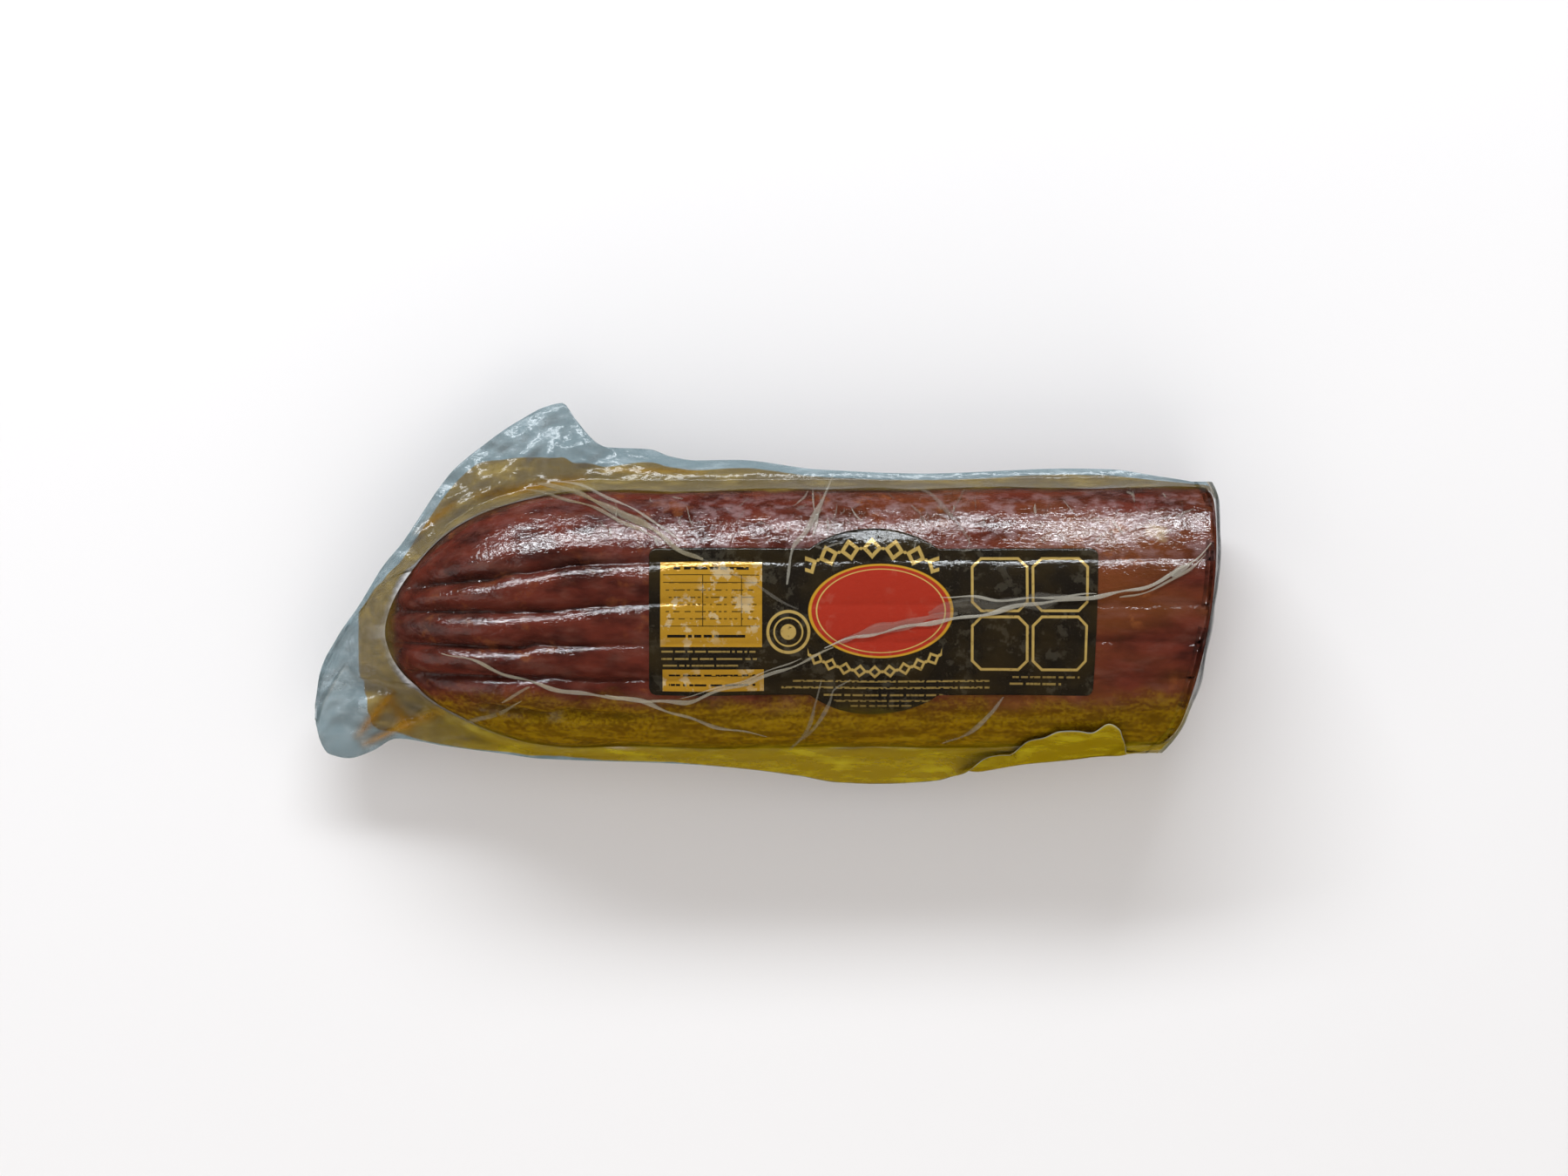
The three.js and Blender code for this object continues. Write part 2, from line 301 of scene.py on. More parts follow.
class Wire:
    """A node's output. Arithmetic on it adds Math nodes."""

    def __init__(self, recipe: "Recipe", socket: bpy.types.NodeSocket) -> None:
        """Wrap a socket."""
        self.recipe = recipe
        self.socket = socket

    def __add__(self, other: "Wire | float") -> "Wire":
        """Sum."""
        return self.recipe.maths("ADD", self, other)

    __radd__ = __add__

    def __sub__(self, other: "Wire | float") -> "Wire":
        """Difference."""
        return self.recipe.maths("SUBTRACT", self, other)

    def __rsub__(self, other: float) -> "Wire":
        """Difference from a number."""
        return self.recipe.maths("SUBTRACT", other, self)

    def __mul__(self, other: "Wire | float") -> "Wire":
        """Product."""
        return self.recipe.maths("MULTIPLY", self, other)

    __rmul__ = __mul__

    def __truediv__(self, other: "Wire | float") -> "Wire":
        """Quotient."""
        return self.recipe.maths("DIVIDE", self, other)

    def __abs__(self) -> "Wire":
        """Size without sign."""
        return self.recipe.maths("ABSOLUTE", self)

    def least(self, other: "Wire | float") -> "Wire":
        """The smaller of the two."""
        return self.recipe.maths("MINIMUM", self, other)

    def most(self, other: "Wire | float") -> "Wire":
        """The larger of the two."""
        return self.recipe.maths("MAXIMUM", self, other)

    def clamp(self) -> "Wire":
        """Held between 0 and 1."""
        return self.most(0.0).least(1.0)

    def between(self, low: float, high: float) -> "Wire":
        """Ease from 0 at low to 1 at high."""
        inputs = {"Value": self, "From Min": low, "From Max": high}
        return self.recipe.add("ShaderNodeMapRange", {"interpolation_type": "SMOOTHSTEP"}, inputs, "Result")


Input = Wire | float | tuple


class Recipe:
    """A material being mixed: adds nodes and wires them."""

    def __init__(self, name: str) -> None:
        """Start an empty material."""
        self.material = bpy.data.materials.new(name)
        self.material.use_nodes = True
        self.tree = self.material.node_tree
        self.tree.nodes.clear()

    def add(self, kind: str, settings: dict, inputs: dict[str | int, Input], out: str | int = 0) -> Wire:
        """Add a node.

        Args:
            kind: The node's type.
            settings: Its properties, set first.
            inputs: A value or a wire for each socket, by name or number.
            out: The output to return.

        Returns:
            That output.
        """
        node = self.tree.nodes.new(kind)
        for key, value in settings.items():
            setattr(node, key, value)
        for key, value in inputs.items():
            if isinstance(value, Wire):
                self.tree.links.new(value.socket, node.inputs[key])
            else:
                node.inputs[key].default_value = value
        return Wire(self, node.outputs[out])

    def maths(self, operation: str, *numbers: Wire | float) -> Wire:
        """One Math node."""
        return self.add("ShaderNodeMath", {"operation": operation}, dict(enumerate(numbers)))

    def length(self, x: Wire, y: Wire) -> Wire:
        """Distance from the origin of a plane."""
        return self.maths("SQRT", x * x + y * y)

    def mix(self, share: Input, base: Wire | Colour, over: Wire | Colour) -> Wire:
        """Lay one colour over another."""
        colours = [c if isinstance(c, Wire) else (*c, 1) for c in (base, over)]
        inputs = {0: share, 6: colours[0], 7: colours[1]}
        return self.add("ShaderNodeMix", {"data_type": "RGBA"}, inputs, 2)

    def place(self, scale: Colour = (1, 1, 1)) -> Wire:
        """The point on the piece in millimetres, scaled along each axis."""
        here = self.add("ShaderNodeTexCoord", {}, {}, "Object")
        factor = tuple(s / MM for s in scale)
        return self.add("ShaderNodeVectorMath", {"operation": "MULTIPLY"}, {0: here, 1: factor})

    def split(self, vector: Wire) -> tuple[Wire, Wire, Wire]:
        """A vector's three numbers."""
        node = self.add("ShaderNodeSeparateXYZ", {}, {0: vector}).socket.node
        return tuple(Wire(self, socket) for socket in node.outputs)

    def grain(self, vector: Wire, size: float, detail: float = 2.0, roughness: float = 0.5) -> Wire:
        """Noise with lumps of about this size in millimetres."""
        inputs = {"Vector": vector, "Scale": 1 / size, "Detail": detail, "Roughness": roughness}
        return self.add("ShaderNodeTexNoise", {}, inputs)

    def cells(self, vector: Wire, size: float) -> Wire:
        """Distance to the nearest of many points that stand about this far apart in millimetres."""
        return self.add("ShaderNodeTexVoronoi", {}, {"Vector": vector, "Scale": 1 / size}, "Distance")

    def streaked(self, along: float, size: float, detail: float, roughness: float) -> Wire:
        """Noise that is drawn out along the pack: the smaller along is, the longer its lumps are."""
        return self.grain(self.place((along, 1, 1)), size, detail, roughness)

    def broken(self, across: Wire, line: Wire) -> Wire:
        """Noise in one row for each line of print, for breaking the line up into words."""
        row = self.add("ShaderNodeCombineXYZ", {}, {0: across, 1: line})
        return self.grain(row, 1.0, 0.0)

    def attribute(self, name: str) -> Wire:
        """A number that the mesh carries on its points."""
        return self.add("ShaderNodeAttribute", {"attribute_name": name}, {}, "Fac")

    def bump(self, height: Wire, depth: float, strength: float = 1.0) -> Wire:
        """Normal of a surface with this relief, depth in millimetres."""
        inputs = {"Height": height, "Distance": depth * MM, "Strength": strength}
        return self.add("ShaderNodeBump", {}, inputs)

    def finish(self, inputs: dict[str, Input]) -> bpy.types.Material:
        """Close the material with one Principled surface.

        Args:
            inputs: The surface's sockets.

        Returns:
            The material.
        """
        surface = self.add("ShaderNodeBsdfPrincipled", {}, inputs)
        output = self.tree.nodes.new("ShaderNodeOutputMaterial")
        self.tree.links.new(surface.socket, output.inputs["Surface"])
        return self.material


# ---------------------------------------------------------------------------------- finishes


def oil_and_yellow_light(r: Recipe, here: Wire, y: Wire) -> Wire:
    """How far each place lies in the yellow band along the near side of the pack: partly oil that has run
    there, partly painted yellow light.
    """
    wander = 16.0
    edge = y + (r.grain(here, 16.0, 3.0, 0.6) - 0.5) * wander
    return edge.between(-33.0, -43.0)


def creases(noise: Wire, width: float) -> Wire:
    """Thin lines where a noise crosses its middle value: 0 on a line and 1 away from it."""
    return abs(noise - 0.5).between(0.0, width)


def tight_film(r: Recipe, x: Wire) -> Wire:
    """Fine crinkles where the vacuum has drawn film and casing together."""
    folds = creases(r.streaked(0.6, 6.5, 3.0, 0.55), 0.10)
    upright = creases(r.grain(r.place((1, 0.45, 0.45)), 5.0, 2.0, 0.5), 0.12)
    crackle = creases(r.streaked(0.5, 2.2, 3.0, 0.6), 0.12)
    middle = x.between(-60.0, -25.0) * x.between(95.0, 40.0)
    return folds * 0.5 + crackle * 0.4 + upright * (0.15 + middle * 0.9)


@dataclass(frozen=True)
class MeatFinish:
    """Dried casing over dark, oily meat, and the cut face with its fat."""

    dark: Colour = (0.034, 0.0085, 0.0060)
    red: Colour = (0.112, 0.022, 0.013)
    brown: Colour = (0.150, 0.045, 0.013)
    casing: Colour = (0.17, 0.070, 0.050)
    fat: Colour = (0.42, 0.30, 0.17)
    orange: Colour = (0.30, 0.095, 0.026)
    # meat and fat on the near side: partly under oil, partly painted yellow light
    soaked: Colour = (0.098, 0.036, 0.002)
    oily_yellow_lit_fat: Colour = (0.265, 0.140, 0.003)
    # lavender patches: painted highlight of the film along the top, with some milky film
    milky_sheen: Colour = (0.30, 0.195, 0.195)
    cut_red: Colour = (0.16, 0.018, 0.012)
    cut_fat: Colour = (0.74, 0.60, 0.46)
    relief: float = 0.26
    lump: tuple[float, float] = (135.5, 21.0)
    lump_size: tuple[float, float] = (4.4, 3.6)

    def material(self) -> bpy.types.Material:
        """Mix the material."""
        r = Recipe("dried casing over cured meat")
        here = r.place()
        x, y, z = r.split(here)
        long_way = r.place((0.45, 1, 1))
        mottle = r.grain(long_way, 7.5, 3.0, 0.55)
        patch = r.grain(long_way, 26.0, 2.0)
        right = x.between(-20.0, 110.0)
        colour = r.mix(mottle.between(0.30, 0.66), self.dark, self.red)
        colour = r.mix(right * patch.between(0.30, 0.62) * 0.8, colour, self.brown)
        veil = r.streaked(0.4, 5.0, 3.0, 0.55).between(0.46, 0.74)
        colour = r.mix(veil * 0.35, colour, self.casing)
        # painted shade: the valleys between the casing's folds are darkened towards the dark meat colour
        colour = r.mix(r.attribute("groove_shade") * 0.6, colour, self.dark)
        spots = r.grain(here, 8.0, 4.0, 0.62).between(0.55, 0.68) * patch.between(0.38, 0.58)
        colour = r.mix(spots * (0.28 + right * 0.22), colour, self.orange)
        colour = r.mix(self._fat_lump(r, here) * 0.6, colour, self.fat)
        # painted highlight: lighter patches along the top band stand in for the film's glints there, with
        # some milky film
        sheen_patches = r.streaked(0.7, 4.5, 4.0, 0.65).between(0.43, 0.68)
        sheen_patches = sheen_patches * y.between(6.0, 20.0) * z.between(32.0, 50.0)
        colour = r.mix(sheen_patches * (0.12 + x.between(-70.0, -20.0) * 0.42), colour, self.milky_sheen)
        # the near side turns yellow-olive: partly oil, partly painted yellow light
        colour = r.mix(oil_and_yellow_light(r, here, y), colour, self._near_side_yellow(r, here))
        cut = r.attribute("cut").between(0.3, 0.7)
        colour = r.mix(cut, colour, self._cut_colour(r, here))
        fine = r.grain(here, 1.1, 3.0, 0.6) * 0.25 + mottle * 0.5
        inputs = {
            "Base Color": colour,
            "Roughness": 0.06 + mottle * 0.13 + cut * 0.2,
            "Specular IOR Level": 0.6,
            "Normal": r.bump(fine + tight_film(r, x), self.relief, 0.5),
        }
        return r.finish(inputs)

    def _fat_lump(self, r: Recipe, here: Wire) -> Wire:
        """A soft lump of fat under the casing, beside the cut end."""
        x, y, z = r.split(here)
        wobble = (r.grain(here, 4.0, 2.0, 0.6) - 0.5) * 1.6
        along = (x - self.lump[0]) / self.lump_size[0]
        lump = r.length(along, (y - self.lump[1]) / self.lump_size[1]) + wobble
        return lump.between(1.15, 0.35) * z.between(30.0, 34.0)

    def _near_side_yellow(self, r: Recipe, here: Wire) -> Wire:
        """Meat on the near side: partly seen through oil that has run there, partly painted yellow light."""
        streaks = r.streaked(0.3, 3.6, 4.0, 0.68)
        fine = r.grain(here, 1.4, 3.0, 0.65)
        return r.mix((streaks * 0.55 + fine * 0.45).between(0.42, 0.62), self.soaked, self.oily_yellow_lit_fat)

    def _cut_colour(self, r: Recipe, here: Wire) -> Wire:
        """Coarse lean meat with cream lumps of fat."""
        lean = r.mix(r.grain(here, 5.0, 4.0, 0.6).between(0.35, 0.65), self.dark, self.cut_red)
        noise = r.add("ShaderNodeTexNoise", {}, {"Vector": here, "Scale": 1 / 6.0, "Detail": 3.0}, "Color")
        reach = (9.0, 9.0, 9.0)
        warped = r.add("ShaderNodeVectorMath", {"operation": "MULTIPLY_ADD"}, {0: noise, 1: reach, 2: here})
        lumps = r.cells(warped, 8.0).between(0.40, 0.33) * r.grain(here, 16.0).between(0.38, 0.45)
        small = r.cells(warped, 3.4).between(0.30, 0.23) * r.grain(here, 7.0).between(0.45, 0.51)
        return r.mix(lumps.most(small) * 0.9, lean, self.cut_fat)


@dataclass(frozen=True)
class LabelFinish:
    """Gloss black paper printed in gold and red. The sheet's own UV map is its plan in millimetres."""

    plan: tuple[float, float] = (160.0, 80.0)
    ground: Colour = (0.011, 0.0085, 0.006)
    gold: Colour = (0.43, 0.225, 0.020)
    bright_gold: Colour = (0.46, 0.31, 0.09)
    red: Colour = (0.31, 0.026, 0.013)
    oil: Colour = (0.045, 0.028, 0.007)
    # near-side tint: partly oil, partly painted yellow light and shade
    oily_yellow_lit_olive: Colour = (0.060, 0.034, 0.002)
    pale: Colour = (0.70, 0.62, 0.44)
    # Middle and size of the table's panel and of the plain panel under it
    panels: tuple[tuple[tuple[float, float], tuple[float, float]], ...] = (
        ((-56.3, 6.1), (35.2, 29.8)),
        ((-55.6, -20.4), (35.0, 7.6)),
    )
    badge: tuple[float, float] = (2.4, 3.8)
    badge_half: tuple[float, float] = (25.0, 16.3)
    # Height on the plan, middle, half length and half height of each line of small print
    small_print: tuple[tuple[float, float, float, float], ...] = (
        (-10.4, -57.0, 16.5, 0.32),
        (-12.9, -57.0, 16.5, 0.32),
        (-15.2, -60.0, 13.0, 0.32),
        (-20.9, 6.0, 34.0, 0.30),
        (-23.1, 4.0, 36.0, 0.34),
        (-25.6, 3.0, 21.0, 0.34),
        (-27.6, 3.0, 17.0, 0.30),
        (-29.4, 3.0, 11.0, 0.26),
        (-19.4, 60.0, 12.0, 0.36),
        (-21.8, 56.0, 9.0, 0.36),
    )

    def material(self) -> bpy.types.Material:
        """Mix the material."""
        r = Recipe("gloss black label printed in gold and red")
        uv = r.add("ShaderNodeUVMap", {"uv_map": "plan"}, {})
        across, up, _ = r.split(uv)
        u = (across - 0.5) * self.plan[0]
        v = (up - 0.5) * self.plan[1]
        here = r.place()
        upper, lower = (self._ink(self._box(u, v, middle, size)) for middle, size in self.panels)
        panel = upper.most(lower)
        rules = self._table_rules(r, u, v)
        bright = self._rings(r, u, v).most(self._frames(u, v))
        bright = bright.most(self._arcs(r, u, v)).most(self._small_print(r, u, v))
        badge_u = (u - self.badge[0]) / self.badge_half[0]
        badge = r.length(badge_u, (v - self.badge[1]) / self.badge_half[1])
        wear = r.grain(here, 1.6, 3.0, 0.7)
        colour = r.mix(r.grain(here, 14.0, 2.0).between(0.3, 0.7) * 0.35, self.ground, self.oil)
        colour = r.mix(panel, colour, self.gold)
        colour = r.mix(panel * rules, colour, self.ground)
        colour = r.mix(bright * wear.between(0.22, 0.42), colour, self.bright_gold)
        colour = r.mix(badge.between(1.012, 0.995), colour, self.gold)
        colour = r.mix(badge.between(0.968, 0.955), colour, self.red)
        line = badge.between(0.905, 0.895) * badge.between(0.875, 0.885)
        colour = r.mix(line, colour, self.bright_gold)
        soaked = r.grain(here, 5.0, 4.0, 0.65).between(0.53, 0.60) * r.grain(here, 18.0).between(0.42, 0.56)
        colour = r.mix(soaked * (panel * 0.38 + 0.03), colour, self.pale)
        x, y, _ = r.split(here)
        # the label's near side is dimmed and tinted olive: partly oil, partly painted yellow light and shade
        colour = r.mix(oil_and_yellow_light(r, here, y + 6.0) * 0.55, colour, self.oily_yellow_lit_olive)
        printed = panel.most(bright)
        inputs = {
            "Base Color": colour,
            "Metallic": printed * 0.2,
            "Roughness": 0.09 + wear * 0.06,
            "Specular IOR Level": 0.4,
            "Normal": r.bump(tight_film(r, x), 0.18, 0.35),
        }
        return r.finish(inputs)

    @staticmethod
    def _box(u: Wire, v: Wire, middle: tuple[float, float], size: tuple[float, float]) -> Wire:
        """Distance outside an upright box, negative inside it."""
        return (abs(u - middle[0]) - size[0] / 2).most(abs(v - middle[1]) - size[1] / 2)

    @staticmethod
    def _ink(distance: Wire, soft: float = 0.12) -> Wire:
        """Print inside a shape, with an edge this soft."""
        return (0.5 - distance / soft).clamp()

    def _table_rules(self, r: Recipe, u: Wire, v: Wire) -> Wire:
        """Thin dark rules of an empty table, with short plain bars where entries would stand."""
        upright = (abs(abs(u + 52.5) - 6.7) - 0.14).most(abs(v - 7.4) - 8.9)
        level = (abs(abs(v - 7.4) - 8.9) - 0.14).least(abs(v - 13.7) - 0.14)
        level = level.most(abs(u + 56.3) - 16.6)
        row = r.maths("PINGPONG", v + 0.2, 1.25)
        broken = r.broken(u * 0.55, r.maths("ROUND", v / 2.5) * 9)
        bars = self._ink(abs(row - 1.25) - 0.24) * broken.between(0.47, 0.5)
        bars = bars * self._ink(self._box(u, v, (-56.3, 6.2), (31.5, 14.5)))
        head = self._ink((abs(v - 18.6) - 0.5).most(abs(u + 56.3) - 13.0)) * broken.between(0.40, 0.43)
        foot = self._ink((abs(v + 5.0) - 0.5).most(abs(u + 58.0) - 13.5)) * broken.between(0.40, 0.43)
        lower = self._ink((abs(abs(v + 20.4) - 1.7) - 0.35).most(abs(u + 56.0) - 15.0))
        lower = lower * broken.between(0.42, 0.45)
        return self._ink(upright.least(level)).most(bars * 0.8).most(head).most(foot).most(lower)

    def _rings(self, r: Recipe, u: Wire, v: Wire) -> Wire:
        """A plain round mark of concentric rings."""
        radius = r.length(u + 29.6, v + 3.5)
        outer = self._ink(abs(radius - 7.1) - 0.5)
        inner = self._ink(abs(radius - 4.9) - 0.28)
        return outer.most(inner).most(self._ink(radius - 2.7))

    def _frames(self, u: Wire, v: Wire) -> Wire:
        """Four empty frames with cut corners."""
        across = abs(abs(u - 54.0) - 10.5)
        up = abs(abs(v - 2.75) - 10.25)
        outside = (across - 9.5).most(up - 9.2).most((across + up - 15.6) * 0.7071)
        return self._ink(abs(outside) - 0.45)

    def _arcs(self, r: Recipe, u: Wire, v: Wire) -> Wire:
        """Two arched bands of plain lozenges, above and below the badge."""
        upper = self._lozenges(r, u + 0.6, v + 20.9, (7.7, 3.5, 3.7))
        lower = self._lozenges(r, u - 0.3, 29.1 - v, (5.2, 2.5, 2.4))
        return upper.most(lower)

    def _lozenges(self, r: Recipe, u: Wire, v: Wire, sizes: tuple[float, float, float]) -> Wire:
        """Lozenges and dots along an arc.

        Args:
            r: The recipe.
            u: Distance across from the arc's centre.
            v: Distance up from the arc's centre.
            sizes: Pitch, half width and half height of a lozenge.

        Returns:
            Print where they are.
        """
        radius_of_arc = 46.5
        pitch, wide, tall = sizes
        radius = r.length(u, v)
        along = r.maths("ARCTAN2", u, v) * radius_of_arc
        near = r.maths("PINGPONG", along, pitch / 2)
        apart = abs(radius - radius_of_arc)
        lozenge = self._ink((near / wide + apart / tall - 1.0) * 1.4)
        hollow = self._ink((near / wide + apart / tall - 0.52) * 1.4)
        dot = self._ink(r.length(near - pitch / 2, apart) - 0.55)
        return (lozenge - hollow).most(dot) * self._ink(abs(u) - 23.2)

    def _small_print(self, r: Recipe, u: Wire, v: Wire) -> Wire:
        """Thin broken rules where a label has its small print."""
        rules = [
            self._ink((abs(v - up) - thick).most(abs(u - middle) - half))
            for up, middle, half, thick in self.small_print
        ]
        broken = r.broken(u * 0.7, r.maths("ROUND", v / 2.2) * 7)
        return reduce(Wire.most, rules) * broken.between(0.41, 0.46) * 0.5


@dataclass(frozen=True)
class FilmFinish:
    """Clear pouch film: near clear on the meat, grey where two films are welded, amber where fat has run,
    olive on the near side partly as painted yellow light.
    """

    clear: Colour = (0.10, 0.085, 0.075)
    weld: Colour = (0.200, 0.280, 0.305)
    pale: Colour = (0.40, 0.48, 0.51)
    amber: Colour = (0.150, 0.098, 0.010)
    amber_light: Colour = (0.44, 0.31, 0.075)
    # film on the near side: partly oil, partly painted yellow light
    oily_yellow_lit_olive: Colour = (0.36, 0.235, 0.002)
    olive_light: Colour = (0.62, 0.50, 0.012)
    rust: Colour = (0.36, 0.160, 0.008)
    fold_white_and_glint: Colour = (0.56, 0.52, 0.43)

    def material(self) -> bpy.types.Material:
        """Mix the material."""
        r = Recipe("clear pouch film")
        here = r.place()
        streaks = r.streaked(0.35, 5.0, 4.0, 0.62)
        blots = r.grain(here, 11.0, 3.0, 0.6)
        loose = r.attribute("loose")
        weld = (r.attribute("weld") + (blots - 0.5) * 0.35).between(0.40, 0.60)
        oil = (r.attribute("oil") + (blots - 0.5) * 0.7).clamp()
        near = r.attribute("near")
        pleat = r.attribute("pleat")
        streak = streaks.between(0.42, 0.75)
        # on the near side the stain turns olive: partly oil, partly painted yellow light
        stain = r.mix(near, self.amber, self.oily_yellow_lit_olive)
        stain = r.mix(streak * 0.7, stain, r.mix(near, self.amber_light, self.olive_light))
        colour = r.mix(oil.between(0.15, 0.75), self.clear, stain)
        colour = r.mix(weld * loose, colour, r.mix(streak, self.weld, self.pale))
        stained = r.attribute("stain")
        colour = r.mix(stained * 0.85, colour, self.rust)
        # folds turn white: partly milky film in the pleats, partly painted highlight along the fine crackles
        # and the folded rim
        colour = r.mix(pleat.between(0.05, 0.4) * (1 - oil * 0.75), colour, self.fold_white_and_glint)
        tight = 0.004 + oil.between(0.1, 0.9) * 0.07 + pleat * 0.55
        alpha = tight + loose * (0.36 + near * 0.20 + streak * 0.06) + stained * 0.25
        folds = creases(r.streaked(0.6, 7.0, 3.0, 0.5), 0.12)
        crinkle = folds * 0.8 + creases(r.grain(here, 4.0, 2.0, 0.5), 0.10) * 0.3
        inputs = {
            "Base Color": colour,
            "Roughness": 0.12 + streaks * 0.12,
            "IOR": 1.5,
            "Alpha": alpha.clamp(),
            "Normal": r.bump(crinkle, 0.4, 0.35),
        }
        return r.finish(inputs)


@dataclass(frozen=True)
class StudioFinish:
    """The plain pale ground."""

    colour: Colour = (0.80, 0.775, 0.77)

    def material(self) -> bpy.types.Material:
        """Mix the material."""
        return Recipe("pale paper ground").finish({"Base Color": (*self.colour, 1), "Roughness": 0.9})


# ---------------------------------------------------------------------------------- the meat


@dataclass(frozen=True)
class Meat:
    """The sausage: a pressed loaf of meat with a pleated rounded end and a cut face."""

    tip_x: float = -133.7
    face_x: float = 156.2
    face_peak_y: float = 22.0
    face_bend: float = 0.0026
    far_corner: tuple[float, float] = (31.0, 0.035)
    near_corner: tuple[float, float] = (-44.0, 0.030)
    half_width: float = 45.8
    middle_y: float = -9.6
    middle_turn: float = 4.2
    middle_drift: float = 0.008
    drift_from: float = -20.0
    middle_z: float = 28.5
    crown: float = 31.4
    belly: float = 31.0
    taper_length: float = 75.0
    taper_rise: float = 2.2
    taper_blunt: float = 0.59
    taper_height: float = 0.9
    rim: float = 4.0
    cut_dish: float = 0.45
    floor_z: float = 0.55
    # Valleys between the casing's folds: over the top as routes in plan, below in degrees round the section
    folds_over: tuple[Line, ...] = (
        Line(((-134, 2.5), (-116, 3.9), (-86, 7), (-50, 10.5), (150, 12))),
        Line(((-134, -6.5), (-116, -6.6), (-86, -6), (-50, -4.5), (150, -4))),
        Line(((-134, -18), (-116, -18.6), (-86, -18.9), (-50, -18), (150, -17))),
        Line(((-134, -28), (-116, -29.8), (-86, -30.8), (-50, -31), (150, -30))),
        Line(((-134, -36), (-116, -39.5), (-86, -42.5), (-50, -44), (150, -43))),
    )
    folds_under: tuple[float, ...] = (196, 219, 243, 268, 296, 325, 350)
    fold_reach: float = 6.4
    fold_reach_under: float = 13.0
    fold_depth: Line = Line((
        (-134, 1.2), (-124, 3.8), (-104, 5.2), (-78, 4.8), (-56, 3.4), (-36, 1.7), (-8, 0.9), (100, 0.8),
        (124, 1.3), (150, 1.4),
    ))
    kink_x: float = -93.0
    kink_length: float = 7.0
    kink_height: float = 1.3
    lean_from: float = 60.0
    smallest_step: float = 1.15
    angles_over: int = 200
    angles_under: int = 84
    face_rings: int = 14
    wander: Ripples = Ripples(3, 120, 24)
    swell: Ripples = Ripples(8, 60, 22, 1.6)
    swell_depth: float = 0.55
    depth_change: float = 0.22
    lumps: Ripples = Ripples(21, 16, 7, 1.5)
    lump_depth: float = 0.10

    def section(self, x: Array) -> Section:
        """Sections at these stations."""
        left = 1 - np.clip((x - self.tip_x) / self.taper_length, 0, 1)
        share = self.taper(x, self.tip_x, self.taper_length, self.taper_blunt)
        drift = self.middle_drift * np.maximum(x - self.drift_from, 0)
        middle = self.middle_y - self.middle_turn * left**4 + drift
        up = self.crown * share**self.taper_height
        down = self.belly * share**self.taper_height
        return Section(middle, self.half_width * share, up, down, np.full_like(x, self.middle_z))

    def taper(self, x: Array, start: float, length: float, blunt: float) -> Array:
        """From 0 where a rounded end starts to 1 where it has its full size."""
        u = np.clip((x - start) / length, 0, 1)
        return (1 - (1 - u) ** self.taper_rise) ** blunt

    def lean(self, x: Array, y: Array) -> Array:
        """Move stations near the cut face so that they follow it."""
        face = self.face_x - self.face_bend * (y - self.face_peak_y) ** 2
        face = face - self.far_corner[1] * np.maximum(y - self.far_corner[0], 0) ** 2
        face = face - self.near_corner[1] * np.maximum(self.near_corner[0] - y, 0) ** 2
        return x + smooth(x, self.face_x - self.lean_from, self.face_x) * (face - self.face_x)

    def valley(self, x: Array, angle: Array) -> Array:
        """How close each place is to the bottom of a fold: 0 on a roll and 1 in the valley."""
        degrees = np.degrees(angle) % 360
        section = self.section(x)
        y = section.at(angle, 0 * x)[0]
        above = smooth(np.sin(angle), 0.0, 0.2)
        closeness = np.zeros(np.broadcast(x, angle).shape)
        for number, fold in enumerate(self.folds_over):
            bend = 0.6 * self.wander(x, np.full_like(x, 37.0 * number))
            place = (x - self.kink_x - 5 * number) / self.kink_length
            strength = self.kink_height if number % 2 == 0 else 0.4 * self.kink_height
            kink = strength * np.sin(1.6 * place) * np.exp(-(place**2))
            route = fold(x) + bend + kink
            on_top = 1 - smooth(np.abs(route - section.middle) / section.half, 0.80, 0.98)
            near = np.clip(1 - np.abs(y - route) / self.fold_reach, 0, 1)
            closeness = np.maximum(closeness, near * on_top * above)
        for number, fold in enumerate(self.folds_under):
            bend = 3.0 * self.wander(x, np.full_like(x, 37.0 * number + 400))
            apart = np.abs((degrees - fold - bend + 180) % 360 - 180)
            closeness = np.maximum(closeness, np.clip(1 - apart / self.fold_reach_under, 0, 1))
        return 1 - np.sqrt(np.maximum(1 - closeness**2, 0))

    def relief(self, x: Array, angle: Array) -> Array:
        """How far the casing dips below its smooth outline, always 0 or less."""
        round_y = self.half_width * angle
        depth = self.fold_depth(x) * (1 + self.depth_change * self.swell(x, round_y))
        dip = self.swell_depth * (1 + self.swell(x + 300, round_y))
        dip = dip + self.lump_depth * (1 + self.lumps(x, round_y))
        ends = smooth(x, self.tip_x, self.tip_x + 12)
        return -(depth * self.valley(x, angle) + np.maximum(dip, 0) * ends)

    def skin(self, x: Array, angle: Array, share: float, outset: float) -> Array:
        """A surface over the meat.

        Args:
            x: Stations, one per row.
            angle: Angles round the section, one per column.
            share: How much of the casing's relief it follows.
            outset: How far it stands off the casing.

        Returns:
            Points in rows and columns.
        """
        return self.wrapped(self.section, x, angle, share * self.relief(x, angle) + outset, np.zeros_like(x))

